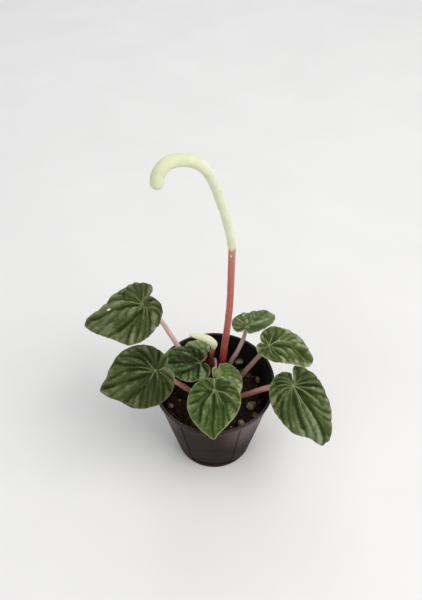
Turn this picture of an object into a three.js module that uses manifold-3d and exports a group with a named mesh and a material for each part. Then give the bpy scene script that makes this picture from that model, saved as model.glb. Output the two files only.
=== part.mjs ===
// Ripple peperomia in a small round nursery pot. Millimetres, +Z up.
// Origin: centre of the pot's flat base, where it stands. -Y is the front.
import * as THREE from 'three';
import Module from 'manifold-3d';
import { mergeVertices } from 'three/addons/utils/BufferGeometryUtils.js';

// ---- pot ----
const POT_H = 52;             // full height
const POT_R_RIM = 30;         // outer radius of the rim band
const POT_R_TOP = 28.95;      // outer wall radius just under the rim band
const POT_R_BASE = 20;        // outer wall radius at the foot
const POT_WALL = 1.1;
const POT_FLOOR = 1.4;
const RIM_BAND_H = 3.4;       // height of the slightly proud rim band
const PANEL_STEP = 0.35;      // every second wall panel lies this much deeper
const PANEL_AT = -94.5;       // azimuth of the middle of the front panel, degrees
const DRAIN_HOLES = 4, DRAIN_R = 2.6, DRAIN_RING = 12.5;

// ---- soil ----
const SOIL_TOP = 36;          // level around the crown
const SOIL_FLAT_R = 6;
const SOIL_BUMP = 0.45;
const GAP = 0.3;              // clearance between neighbouring pieces

// ---- leaves ----
const BLADE_T = 0.9;          // blade thickness
const RIPPLE = 0.3;           // height of the radial corrugation
const RIPPLE_FOLDS = 9;
const LEAF_SECTORS = 36;
const LEAF_RINGS = [0.34, 0.7, 1];

// Each blade hangs from `at`, the point where its stalk meets it. `az` is the
// compass direction of the midrib from there to the tip, `dip` how far the tip
// drops, `roll` the sideways lean. The blade's mid surface falls away from that
// plane as ku*u^2 + kv*v^2. `edge` runs round the margin from one side of the
// basal notch, past the tip, to the other side: u along the midrib, v across.
const LEAVES = {
  leaf_a: {
    at: [-34.7, 25.61, 80], az: -165.4, dip: 8.5, roll: -3, ku: 0.004, kv: 0.011,
    edge: [
      [-4.2, -3.2], [-7.2, -0.5], [-8.7, 3.3], [-8.5, 7.3], [-7, 10.9], [-4.6, 14.1], [-1.4, 16.6], [2.2,
      18.3], [6.2, 19.2], [10.2, 19.1], [13.7, 17.3], [16.8, 14.7], [19.9, 12.1], [23, 9.5], [26, 6.7],
      [28.5, 3.7], [30.1, -0], [27.9, -3.1], [24.2, -4.5], [20.6, -5.9], [17.4, -8.2], [15.1, -11], [11.7,
      -13.1], [8.3, -14.7], [4.6, -16.1], [0.7, -16.4], [-2.8, -15.1], [-5.5, -12.3], [-6.8, -8.4], [-5.6,
      -4.9], [-2.2, -2.8],
    ],
  },
  leaf_b: {
    at: [-27.56, -5.68, 68], az: -157.5, dip: 0, roll: -16, ku: 0.003, kv: 0.008,
    edge: [
      [-5.7, 0.1], [-7.2, 3.1], [-7.2, 6.6], [-5.8, 9.7], [-3.6, 12.4], [-0.7, 14.3], [2.5, 15.5], [6,
      15.8], [9.5, 15.4], [12.8, 14.5], [15.9, 13], [18.3, 10.6], [20.7, 8], [23.3, 5.7], [25.6, 3.1],
      [27, 0], [24.7, -2.7], [22.1, -4.9], [20.1, -7.9], [17.6, -10.6], [14.9, -13.1], [11.8, -14.9],
      [8.3, -15.8], [4.5, -15.7], [0.9, -14.8], [-2.2, -13.1], [-4.7, -10.5], [-6.4, -7.2], [-7.4, -3.5],
      [-6, -0.6], [-2.6, 0.9],
    ],
  },
  leaf_c: {
    at: [-6.77, 2.67, 62.7], az: 172.7, dip: 4, roll: -7, ku: 0.004, kv: 0.007,
    edge: [
      [-2.1, -0.4], [-4.5, 1.5], [-5.5, 4.5], [-4.7, 7.1], [-2.2, 8.6], [0.8, 9.8], [3.7, 10.4], [6.7,
      10], [9.5, 8.9], [12.2, 7.4], [14.7, 5.6], [17.1, 3.6], [19.5, 1.7], [22, 0], [20.6, -2.3], [18.3,
      -4.2], [16.4, -6.4], [14.2, -8], [11.5, -8.9], [8.7, -9.6], [6, -10], [3.3, -9], [0.7, -7.4], [-1.3,
      -5.4], [-1.8, -2.6],
    ],
  },
  leaf_d: {
    at: [-0.05, -13.44, 63], az: -90.9, dip: 11, roll: 0, ku: 0.004, kv: 0.008,
    edge: [
      [-5.1, 1.3], [-5.8, 4.5], [-4.7, 7.6], [-2.4, 10.1], [0.6, 11.7], [3.9, 12.4], [7.1, 12.1], [10.2,
      11], [13, 9.3], [15.8, 7.1], [18.3, 4.7], [20.7, 2.2], [23, 0], [21.4, -3], [19.3, -5.8], [16.8,
      -8.2], [13.9, -10.3], [10.8, -11.7], [7.4, -12.4], [4, -12.3], [0.6, -11.3], [-2.3, -9.6], [-4.6,
      -7.2], [-5.8, -4.1], [-5.6, -0.5],
    ],
  },
  leaf_e: {
    at: [1.63, -1.63, 61.5], az: -54.8, dip: 28, roll: -10, ku: 0.005, kv: -0.006,
    edge: [
      [-2.4, 2.9], [-1.9, 5.1], [-0.9, 7], [0.7, 8.5], [2.6, 9.5], [4.7, 10.1], [6.9, 10.2], [9, 9.8],
      [11, 8.8], [12.7, 7.4], [14.1, 5.8], [15.4, 3.9], [16.3, 2], [16.9, 0], [15.4, -1.9], [13.7, -3.2],
      [11.9, -4], [9.8, -4.4], [7.7, -4.5], [5.5, -4.3], [3.3, -3.9], [1.2, -3.3], [-0.9, -2.5], [-2.3,
      -1.3], [-2.4, 0.8],
    ],
  },
  leaf_f: {
    at: [16.45, 19.11, 70], az: 26.6, dip: 3, roll: -15, ku: 0.004, kv: -0.009,
    edge: [
      [-3.1, -2.5], [-5.5, -2], [-6.5, 0.5], [-6.4, 3.3], [-5.6, 5.9], [-4, 8.1], [-1.8, 9.6], [0.8,
      10.4], [3.5, 10.3], [5.6, 9.1], [8.2, 9.6], [10.8, 8.8], [13.5, 8.3], [15.7, 7.6], [16.4, 4.8],
      [17.1, 2.2], [15.9, -0.3], [14.1, -2.3], [11.8, -3.9], [9.4, -5.1], [6.8, -6], [4, -6.7], [1.2,
      -6.9], [-1.2, -6.1], [-2.7, -4],
    ],
  },
  leaf_g: {
    at: [26.17, 5.46, 72.5], az: -13.2, dip: 8, roll: -5, ku: 0.004, kv: -0.003,
    edge: [
      [-3.9, 0.8], [-5, 3.9], [-4.4, 7.4], [-2.5, 10.3], [0.3, 12.2], [3.7, 12.9], [7.2, 12.7], [10.6,
      11.9], [13.7, 10.6], [16.3, 8.4], [18.5, 5.7], [20.7, 3], [22.2, 0], [21.6, -3.3], [19.9, -6.3],
      [17, -7.4], [13.7, -7.5], [10.5, -8.3], [7.3, -9.2], [4, -9.8], [0.5, -9.5], [-2.6, -8.3], [-4.9,
      -6], [-5.7, -2.8], [-4.4, 0.3],
    ],
  },
  leaf_h: {
    at: [37.28, -10.72, 62.5], az: -60.2, dip: 24, roll: -3, ku: 0.004, kv: 0.008,
    edge: [
      [-2.4, 2.6], [-6.1, 2.9], [-7.9, 5.3], [-5.7, 8.7], [-3, 11.5], [0.3, 13.6], [4.1, 14.1], [8, 14],
      [11.8, 13.5], [15.6, 12.7], [19.3, 11.5], [22.6, 9.4], [26.1, 7.8], [29.1, 5.5], [30.4, 1.7], [29.1,
      -1.9], [25.8, -3.9], [23.2, -6.6], [20.9, -9.6], [17.8, -11.7], [14.2, -13], [10.5, -14], [6.7,
      -14.5], [2.8, -14.1], [-0.8, -13], [-4.1, -11], [-6.5, -8.1], [-7.9, -4.6], [-7.6, -0.8], [-5.2,
      2.3], [-1.7, 2],
    ],
  },
  leaf_i: {
    at: [-5.2, 15.06, 56], az: 155.1, dip: 8, roll: 0, ku: 0.004, kv: 0.006,
    edge: [
      [-1.6, 0.8], [-1.4, 2.4], [-0.8, 3.6], [0.1, 4.3], [1.3, 4.6], [2.6, 4.6], [4, 4.3], [5.5, 3.7],
      [6.9, 3.1], [8.2, 2.3], [9.4, 1.4], [10.3, 0.4], [10.9, -0.6], [10.6, -2], [9.9, -3.2], [8.8, -4.2],
      [7.5, -5.2], [6.1, -5.9], [4.6, -6.3], [3.2, -6.4], [1.8, -6.1], [0.5, -5.5], [-0.6, -4.5], [-1.5,
      -3.3], [-2.2, -1.7],
    ],
  },
};

// ---- leaf stalks: points on the centreline, radii at the two ends ----
const STALKS = {
  petiole_a: { r: [1.45, 1.15], pts: [[-4.4, 2.8, 38.3], [-11.3, 9.8, 49.3], [-18.8, 17.3, 59], [-22.4, 20.6, 63.8], [-25.8, 23.0, 69.3], [-32.9, 25.1, 77.4]] },
  petiole_b: { r: [1.5, 1.2], pts: [[-5.2, -1.1, 38.6], [-12.5, -2.5, 47.0], [-15.8, -2.9, 51.4], [-19.2, -3.1, 55.8], [-26.0, -5.2, 65.3]] },
  petiole_c: { r: [0.95, 0.7], pts: [[-2.2, 4.6, 39.4], [-3.4, 8.4, 47], [-3.6, 10.4, 55], [-3.6, 9.6, 60.2], [-3.75, 8.3, 62.4], [-3.6, 7.0, 63.2], [-3.5, 5.8, 63.3]] },
  petiole_d: { r: [1.35, 1.1], pts: [[0, -5.4, 39.0], [-0.1, -8.6, 48], [-0.1, -11.6, 56], [-0.05, -12.9, 61.2]] },
  petiole_e: { r: [0.95, 0.8], pts: [[0.9, 5.0, 39.7], [0.6, 5.3, 48], [0.3, 5.5, 55], [0.25, 5.5, 61.2], [0.6, 4.2, 62.6], [0.85, 2.9, 62.4], [0.9, 2.1, 62.0]] },
  petiole_f: { r: [1.4, 0.95], pts: [[3.9, 3.6, 39.4], [8.6, 10.3, 52.8], [11.6, 12.9, 57.5], [14.8, 16.9, 63.4], [16.1, 18.5, 68.3]] },
  petiole_g: { r: [1.4, 1.1], pts: [[5.4, 0.6, 39.4], [16.9, 3.5, 57.1], [21.7, 4.5, 65], [25.3, 5.2, 70.5]] },
  petiole_h: { r: [1.6, 1.3], pts: [[5.0, -2.4, 38.1], [14.8, -4.3, 44.6], [20.9, -6, 50.8], [26.5, -7.6, 56.1], [34.7, -10.0, 60.2]] },
  petiole_i: { r: [0.8, 0.65], pts: [[-3.6, 3.9, 41.7], [-6.0, 7.4, 47.5], [-6.3, 12.0, 52.2], [-5.6, 14.2, 54.2]] },
};

// ---- flower spikes: bare stalk, then the fleshy spike it carries ----
const SPIKES = {
  tall_peduncle: {
    r: [2.05, 1.75, 1.6, 1.5, 1.4, 1.4], sides: 9, steps: 20,
    pts: [[1.9, 1.2, 42.0], [3.2, 3.8, 51.0], [4.15, 5.5, 60.2], [5.1, 5.1, 73.6], [6.2, 4.5, 88.5], [6.9, 3.6, 102.5], [7.1, 2.2, 116.2], [7.1, 0.6, 130.3], [7.08, -0.45, 138.6], [6.98, -0.8, 142.7]],
  },
  tall_spadix: {
    r: [1.6, 1.6, 1.65, 1.75, 1.95, 2.15, 2.2], sides: 9, steps: 26, round: true,
    pts: [[6.95, -0.85, 143.1], [6.6, -1.3, 146.9], [5.3, -2.5, 154.4], [3.9, -4, 162], [2.2, -5.5, 169.2], [0.6, -7, 176.1], [-1.1, -9, 182.1], [-3.2, -11, 187.1], [-5.8, -13, 190.7], [-8.5, -15, 193], [-11.2, -17, 194.5], [-13.6, -19, 195.3], [-15.7, -21, 194.9], [-17.3, -22.5, 193.2], [-17.8, -23.7, 190.3], [-17.8, -24.2, 187.6]],
  },
  young_peduncle: {
    r: [1.35, 1.2, 1.2], sides: 8, steps: 10,
    pts: [[-1.85, 1.7, 42.0], [-2.2, 5.1, 47.8], [-1.5, 8, 53.3], [-1.2, 9.6, 59.3], [-0.4, 10.5, 63.3]],
  },
  young_spadix: {
    r: [1.5, 1.75, 1.75, 1.5], sides: 9, steps: 14, round: true,
    pts: [[-0.3, 10.6, 63.8], [0.3, 11.2, 66.0], [-0.9, 11.7, 68.0], [-2.9, 12.4, 69.1], [-5.3, 13.2, 69.4], [-8.2, 14, 69.4], [-11.5, 15, 69.1]],
  },
};

// ---- loose pieces on the soil: centre, half sizes, seed ----
const PUMICE = {
  pumice_1: { at: [13.2, 20.0, 39.6], half: [2.0, 1.7, 1.7], seed: 1 },
  pumice_2: { at: [22.5, 9.0, 39.2], half: [1.3, 1.8, 1.5], seed: 2 },
  pumice_3: { at: [18.5, -6.6, 39.2], half: [2.3, 2.4, 1.8], seed: 3 },
  pumice_4: { at: [20.4, -12.0, 38.6], half: [1.5, 1.4, 1.2], seed: 4 },
  pumice_5: { at: [13.4, -17.2, 39.1], half: [2.0, 2.2, 1.7], seed: 5 },
  pumice_6: { at: [-21.6, -6.2, 38.4], half: [1.4, 1.2, 1.0], seed: 6 },
};
const BARK = {
  bark_1: { at: [16.4, 13.7, 37.5], turn: -35, tilt: 5, outline: [[-3.5, -0.9], [-1.3, -1.8], [2.0, -1.5], [3.4, -0.3], [2.9, 1.2], [0.6, 1.7], [-2.4, 1.3]], thick: 1.3 },
  bark_2: { at: [-11.5, -19.0, 37.5], turn: -32, tilt: 4, outline: [[-2.4, -0.8], [0.4, -1.2], [2.5, -0.3], [1.7, 0.9], [-1.4, 1.0]], thick: 1.1 },
};

// ---- colours ----
const MATERIALS = {
  leaf: new THREE.MeshStandardMaterial({ color: 0x4d6b34, roughness: 0.55, metalness: 0 }),
  petiole: new THREE.MeshStandardMaterial({ color: 0xb9796a, roughness: 0.45, metalness: 0 }),
  peduncle: new THREE.MeshStandardMaterial({ color: 0xa03a3c, roughness: 0.45, metalness: 0 }),
  spadix: new THREE.MeshStandardMaterial({ color: 0xdde6b4, roughness: 0.6, metalness: 0 }),
  crown: new THREE.MeshStandardMaterial({ color: 0x7a4a3c, roughness: 0.6, metalness: 0 }),
  pot: new THREE.MeshStandardMaterial({ color: 0x2b2627, roughness: 0.5, metalness: 0 }),
  soil: new THREE.MeshStandardMaterial({ color: 0x2a1d16, roughness: 0.95, metalness: 0 }),
  pumice: new THREE.MeshStandardMaterial({ color: 0xa89880, roughness: 0.95, metalness: 0 }),
  bark: new THREE.MeshStandardMaterial({ color: 0x54422c, roughness: 0.9, metalness: 0 }),
};

const wasm = await Module();
wasm.setup();

// ---------- helpers ----------
function geometryOf(vertices, triangles) {
  const g = new THREE.BufferGeometry();
  g.setAttribute('position', new THREE.Float32BufferAttribute(vertices.flat(), 3));
  let volume = 0;
  for (const [a, b, c] of triangles) {
    const [p, q, r] = [vertices[a], vertices[b], vertices[c]];
    volume += p[0] * (q[1] * r[2] - q[2] * r[1]) - p[1] * (q[0] * r[2] - q[2] * r[0]) + p[2] * (q[0] * r[1] - q[1] * r[0]);
  }
  const facing = volume > 0 ? triangles : triangles.map(([a, b, c]) => [a, c, b]);
  g.setIndex(facing.flat());
  g.computeVertexNormals();
  return g;
}

function solidOf(geometry) {
  const g = geometry.clone();
  g.deleteAttribute('normal');
  g.deleteAttribute('uv');
  const m = mergeVertices(g, 1e-4);
  return new wasm.Manifold(new wasm.Mesh({
    numProp: 3,
    vertProperties: new Float32Array(m.attributes.position.array),
    triVerts: new Uint32Array(m.index.array),
  }));
}

function geometryFrom(solid) {
  const mesh = solid.getMesh();
  const g = new THREE.BufferGeometry();
  g.setAttribute('position', new THREE.Float32BufferAttribute(Array.from(mesh.vertProperties), 3));
  g.setIndex(Array.from(mesh.triVerts));
  g.computeVertexNormals();
  return g;
}

function pick(list, t) {
  const x = t * (list.length - 1), i = Math.min(Math.floor(x), list.length - 2);
  return list[i] + (list[i + 1] - list[i]) * (x - i);
}

// A stem: rings of `sides` points along a smooth curve, closed at both ends.
// `round` draws the far end in to a blunt dome.
function stemGeometry({ pts, r, sides = 7, steps = 10, round = false }) {
  const curve = new THREE.CatmullRomCurve3(pts.map((p) => new THREE.Vector3(...p)), false, 'centripetal');
  const length = curve.getLength();
  const endR = r[r.length - 1];
  const dome = round ? endR / length : 0;
  const ts = [];
  for (let i = 0; i <= steps; i++) ts.push((1 - dome) * i / steps);
  const scale = ts.map(() => 1);
  if (round) for (const a of [0.45, 0.8]) { ts.push(1 - dome + dome * a); scale.push(Math.sqrt(1 - a * a)); }
  const vertices = [], triangles = [];
  let normal = null;
  ts.forEach((t, i) => {
    const p = curve.getPointAt(t), d = curve.getTangentAt(t);
    if (!normal) normal = new THREE.Vector3(1, 0, 0).addScaledVector(d, -d.x);
    normal.addScaledVector(d, -normal.dot(d)).normalize();
    const side = d.clone().cross(normal), radius = pick(r, t) * scale[i];
    for (let k = 0; k < sides; k++) {
      const a = 2 * Math.PI * k / sides;
      const v = p.clone().addScaledVector(normal, radius * Math.cos(a)).addScaledVector(side, radius * Math.sin(a));
      vertices.push([v.x, v.y, v.z]);
    }
  });
  for (let i = 0; i < ts.length - 1; i++) for (let k = 0; k < sides; k++) {
    const a = i * sides + k, b = i * sides + (k + 1) % sides;
    triangles.push([a, b, a + sides], [b, b + sides, a + sides]);
  }
  const first = curve.getPointAt(0), last = curve.getPointAt(1), end = (ts.length - 1) * sides;
  vertices.push([first.x, first.y, first.z], [last.x, last.y, last.z]);
  if (!round) { const e = curve.getPointAt(ts[ts.length - 1]); vertices[vertices.length - 1] = [e.x, e.y, e.z]; }
  for (let k = 0; k < sides; k++) {
    triangles.push([vertices.length - 2, (k + 1) % sides, k], [vertices.length - 1, end + k, end + (k + 1) % sides]);
  }
  return geometryOf(vertices, triangles);
}

// A blade: fan of rays from the stalk to the margin, doubled into two skins
// BLADE_T apart, with the basal notch left open.
function leafGeometry({ at, az, dip, roll, ku, kv, edge }) {
  const rad = Math.PI / 180;
  const U = new THREE.Vector3(Math.cos(az * rad) * Math.cos(dip * rad), Math.sin(az * rad) * Math.cos(dip * rad), -Math.sin(dip * rad));
  const V0 = new THREE.Vector3(-Math.sin(az * rad), Math.cos(az * rad), 0);
  const N0 = U.clone().cross(V0);
  const V = V0.clone().multiplyScalar(Math.cos(roll * rad)).addScaledVector(N0, Math.sin(roll * rad));
  const N = U.clone().cross(V);
  const curve = new THREE.CatmullRomCurve3(edge.map(([u, v]) => new THREE.Vector3(u, v, 0)), false, 'centripetal');
  const rim = curve.getSpacedPoints(LEAF_SECTORS);
  // polar form of the margin, kept in order round the stalk
  const halfNotch = 3 * rad;
  let last = Math.PI - halfNotch;
  const rays = rim.map((p, i) => {
    let phi = Math.atan2(p.y, p.x);
    if (i < LEAF_SECTORS / 3 && phi < 0) phi += 2 * Math.PI;
    if (i > LEAF_SECTORS * 2 / 3 && phi > 0) phi -= 2 * Math.PI;
    phi = Math.min(phi, last - (i ? 1.2 * rad : 0));
    phi = Math.max(phi, -Math.PI + halfNotch + (LEAF_SECTORS - i) * 1.2 * rad);
    last = phi;
    return { phi, r: Math.hypot(p.x, p.y) };
  });
  const origin = new THREE.Vector3(...at);
  const place = (u, v, w) => {
    const p = origin.clone().addScaledVector(U, u).addScaledVector(V, v).addScaledVector(N, w);
    return [p.x, p.y, p.z];
  };
  const vertices = [place(0, 0, 0), place(0, 0, -BLADE_T)], triangles = [];
  for (const { phi, r } of rays) for (const s of LEAF_RINGS) {
    const u = r * s * Math.cos(phi), v = r * s * Math.sin(phi);
    const w = -ku * u * u - kv * v * v - RIPPLE * s * (1 - Math.cos(RIPPLE_FOLDS * phi)) / 2;
    vertices.push(place(u, v, w), place(u, v, w - BLADE_T));
  }
  const R = LEAF_RINGS.length, id = (i, k, under) => 2 + 2 * (i * R + k) + under;
  for (let i = 0; i < rays.length - 1; i++) {
    for (const under of [0, 1]) {
      const add = (a, b, c) => triangles.push(under ? [a, b, c] : [a, c, b]);
      add(under, id(i, 0, under), id(i + 1, 0, under));
      for (let k = 0; k < R - 1; k++) {
        add(id(i, k, under), id(i, k + 1, under), id(i + 1, k + 1, under));
        add(id(i, k, under), id(i + 1, k + 1, under), id(i + 1, k, under));
      }
    }
    const a = id(i, R - 1, 0), b = id(i + 1, R - 1, 0), c = id(i + 1, R - 1, 1), d = id(i, R - 1, 1);
    triangles.push([a, b, c], [a, c, d]);
  }
  for (const [i, flip] of [[0, false], [rays.length - 1, true]]) {
    const line = (under) => [under, ...LEAF_RINGS.map((_, k) => id(i, k, under))];
    const top = line(0), low = line(1);
    for (let k = 0; k < R; k++) {
      const quad = [[top[k], top[k + 1], low[k + 1]], [top[k], low[k + 1], low[k]]];
      for (const [a, b, c] of quad) triangles.push(flip ? [a, c, b] : [a, b, c]);
    }
  }
  return geometryOf(vertices, triangles);
}

// The pot: one closed profile carried round the axis; the wall below the rim
// band steps in and out in six panels.
function potGeometry() {
  const z0 = 0.8, zTop = POT_H - RIM_BAND_H;
  const wallAt = (z) => POT_R_BASE + (POT_R_TOP - POT_R_BASE) * (z - z0) / (zTop - z0);
  // [radius, z, how much of the panel step applies]
  const profile = [
    [POT_R_BASE - 0.7, 0, 0], [POT_R_BASE, z0, 0], [wallAt(4), 4, 0], [wallAt(4.6), 4.6, 1],
    [wallAt(26), 26, 1], [wallAt(zTop - 0.6), zTop - 0.6, 1], [wallAt(zTop), zTop, 0],
    [POT_R_RIM - 0.35, zTop + 0.5, 0], [POT_R_RIM, POT_H - 0.5, 0], [POT_R_RIM - 0.4, POT_H, 0],
    [POT_R_RIM - 1.1, POT_H, 0], [POT_R_RIM - 1.45, POT_H - 0.6, 0], [wallAt(zTop) - POT_WALL, zTop - 0.6, 0],
    [wallAt(20) - POT_WALL, 20, 0], [wallAt(2.2) - POT_WALL, 2.2, 0], [wallAt(POT_FLOOR) - POT_WALL - 0.8, POT_FLOOR, 0],
  ];
  const angles = [];
  for (let p = 0; p < 6; p++) {
    const start = PANEL_AT - 30 + 60 * p, deep = p % 2 === 0 ? 1 : 0;
    for (const a of [0.8, 12, 24, 36, 48, 59.2]) angles.push([start + a, deep]);
  }
  const vertices = [[0, 0, 0], [0, 0, POT_FLOOR]], triangles = [], n = profile.length, m = angles.length;
  for (const [deg, deep] of angles) for (const [r, z, s] of profile) {
    const a = deg * Math.PI / 180, rr = r - PANEL_STEP * s * deep;
    vertices.push([rr * Math.cos(a), rr * Math.sin(a), z]);
  }
  for (let i = 0; i < m; i++) {
    const a = 2 + i * n, b = 2 + ((i + 1) % m) * n;
    triangles.push([0, b, a], [1, a + n - 1, b + n - 1]);
    for (let k = 0; k < n - 1; k++) triangles.push([a + k, b + k, a + k + 1], [b + k, b + k + 1, a + k + 1]);
  }
  let solid = solidOf(geometryOf(vertices, triangles));
  for (let i = 0; i < DRAIN_HOLES; i++) {
    const a = Math.PI / 4 + i * 2 * Math.PI / DRAIN_HOLES;
    const hole = new THREE.CylinderGeometry(DRAIN_R, DRAIN_R, 6, 12);
    hole.rotateX(Math.PI / 2);
    hole.translate(DRAIN_RING * Math.cos(a), DRAIN_RING * Math.sin(a), 0);
    solid = solid.subtract(solidOf(hole));
  }
  return geometryFrom(solid);
}

function soilGeometry() {
  const z0 = 0.8, zTop = POT_H - RIM_BAND_H;
  const innerAt = (z) => POT_R_BASE + (POT_R_TOP - POT_R_BASE) * (z - z0) / (zTop - z0) - POT_WALL;
  const bump = (x, y) => {
    const r = Math.hypot(x, y), fade = Math.min(1, Math.max(0, (r - SOIL_FLAT_R) / 5));
    return fade * SOIL_BUMP * (0.6 * Math.sin(0.55 * x + 1.3) * Math.cos(0.47 * y + 0.4) + 0.4 * Math.sin(0.9 * (x - y) + 2));
  };
  const m = 36, base = POT_FLOOR + GAP;
  const rings = [[innerAt(base) - 1.6, base, 0], [innerAt(3.5) - GAP - 0.15, 3.5, 0], [innerAt(SOIL_TOP - 1) - GAP - 0.15, SOIL_TOP - 1.2, 0],
    [24.2, SOIL_TOP - 0.3, 1], [19, SOIL_TOP, 1], [13, SOIL_TOP, 1], [SOIL_FLAT_R, SOIL_TOP, 0]];
  const vertices = [[0, 0, base], [0, 0, SOIL_TOP]], triangles = [], n = rings.length;
  for (let i = 0; i < m; i++) for (const [r, z, rough] of rings) {
    const a = 2 * Math.PI * i / m, x = r * Math.cos(a), y = r * Math.sin(a);
    vertices.push([x, y, z + (rough ? bump(x, y) : 0)]);
  }
  for (let i = 0; i < m; i++) {
    const a = 2 + i * n, b = 2 + ((i + 1) % m) * n;
    triangles.push([0, b, a], [1, a + n - 1, b + n - 1]);
    for (let k = 0; k < n - 1; k++) triangles.push([a + k, b + k, a + k + 1], [b + k, b + k + 1, a + k + 1]);
  }
  return geometryOf(vertices, triangles);
}

// Short stem the stalks spring from: a low dome standing on the soil.
function crownGeometry() {
  const profile = [[0, SOIL_TOP + GAP], [3.5, SOIL_TOP + GAP], [4.0, 37.5], [3.9, 39], [3.2, 40.5], [1.9, 41.4], [0, 41.6]];
  const g = new THREE.LatheGeometry(profile.map(([r, z]) => new THREE.Vector2(r, z)), 14);
  g.rotateX(Math.PI / 2);
  return geometryFrom(solidOf(g));
}

function pumiceGeometry({ half, seed }) {
  const g = new THREE.IcosahedronGeometry(1, 1);
  g.deleteAttribute('normal');
  g.deleteAttribute('uv');
  const m = mergeVertices(g, 1e-4), p = m.attributes.position;
  for (let i = 0; i < p.count; i++) {
    const x = p.getX(i), y = p.getY(i), z = p.getZ(i);
    const k = 0.88 + 0.12 * Math.sin(3.1 * x + 2.3 * y * seed + 1.7 * z + seed);
    p.setXYZ(i, x * k * half[0], y * k * half[1], z * k * half[2]);
  }
  m.computeVertexNormals();
  return m;
}

function barkGeometry({ outline, thick }) {
  const shape = new THREE.Shape(outline.map(([x, y]) => new THREE.Vector2(x, y)));
  return new THREE.ExtrudeGeometry(shape, { depth: thick, bevelEnabled: false });
}

// ---------- assembly ----------
const group = new THREE.Group();
function put(name, geometry, material, at = [0, 0, 0], turn = [0, 0, 0]) {
  const mesh = new THREE.Mesh(geometry, material);
  mesh.name = name;
  mesh.position.set(...at);
  mesh.rotation.set(...turn);
  group.add(mesh);
}

put('pot', potGeometry(), MATERIALS.pot);
put('soil', soilGeometry(), MATERIALS.soil);
put('crown', crownGeometry(), MATERIALS.crown);
for (const [name, spec] of Object.entries(LEAVES)) put(name, leafGeometry(spec), MATERIALS.leaf);
for (const [name, spec] of Object.entries(STALKS)) put(name, stemGeometry(spec), MATERIALS.petiole);
for (const [name, spec] of Object.entries(SPIKES)) put(name, stemGeometry(spec), name.endsWith('spadix') ? MATERIALS.spadix : MATERIALS.peduncle);
for (const [name, spec] of Object.entries(PUMICE)) put(name, pumiceGeometry(spec), MATERIALS.pumice, spec.at);
for (const [name, spec] of Object.entries(BARK)) {
  const rad = Math.PI / 180;
  put(name, barkGeometry(spec), MATERIALS.bark, spec.at, [spec.tilt * rad, 0, spec.turn * rad]);
}

export default group;
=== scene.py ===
# Looks of a small ripple peperomia in a round nursery pot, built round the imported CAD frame.
# All lengths below are millimetres in the part's own frame (+Z up, origin at the centre of the
# pot's base, -Y towards the viewer); meshes are written in metres.
import bpy
import math
import numpy as np
from mathutils import Matrix, Vector
from mathutils.geometry import delaunay_2d_cdt


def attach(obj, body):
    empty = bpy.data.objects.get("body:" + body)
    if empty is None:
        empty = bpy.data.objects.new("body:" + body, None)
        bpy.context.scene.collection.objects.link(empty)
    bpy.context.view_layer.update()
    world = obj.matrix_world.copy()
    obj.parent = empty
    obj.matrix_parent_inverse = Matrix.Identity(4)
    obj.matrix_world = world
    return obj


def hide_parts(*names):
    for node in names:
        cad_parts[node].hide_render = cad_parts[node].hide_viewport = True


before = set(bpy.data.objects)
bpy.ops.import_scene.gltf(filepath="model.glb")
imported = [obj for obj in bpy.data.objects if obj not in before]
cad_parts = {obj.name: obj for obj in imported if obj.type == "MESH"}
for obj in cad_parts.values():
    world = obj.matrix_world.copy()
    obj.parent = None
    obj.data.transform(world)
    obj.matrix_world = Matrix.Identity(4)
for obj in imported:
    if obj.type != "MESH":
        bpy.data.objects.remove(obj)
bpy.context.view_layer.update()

MM = 0.001
DEG = math.pi / 180

# ------------------------------------------------------------------ sizes shared with the CAD
POT_H, POT_R_RIM, POT_R_TOP, POT_R_BASE = 52.0, 30.0, 28.95, 20.0
POT_WALL, POT_FLOOR, RIM_BAND_H = 1.1, 1.4, 3.4
PANEL_STEP, PANEL_AT = 0.35, -94.5
DRAIN_HOLES, DRAIN_R, DRAIN_RING = 4, 2.6, 12.5
SOIL_TOP, SOIL_FLAT_R, SOIL_BUMP, GAP = 36.0, 6.0, 0.45, 0.3

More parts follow.
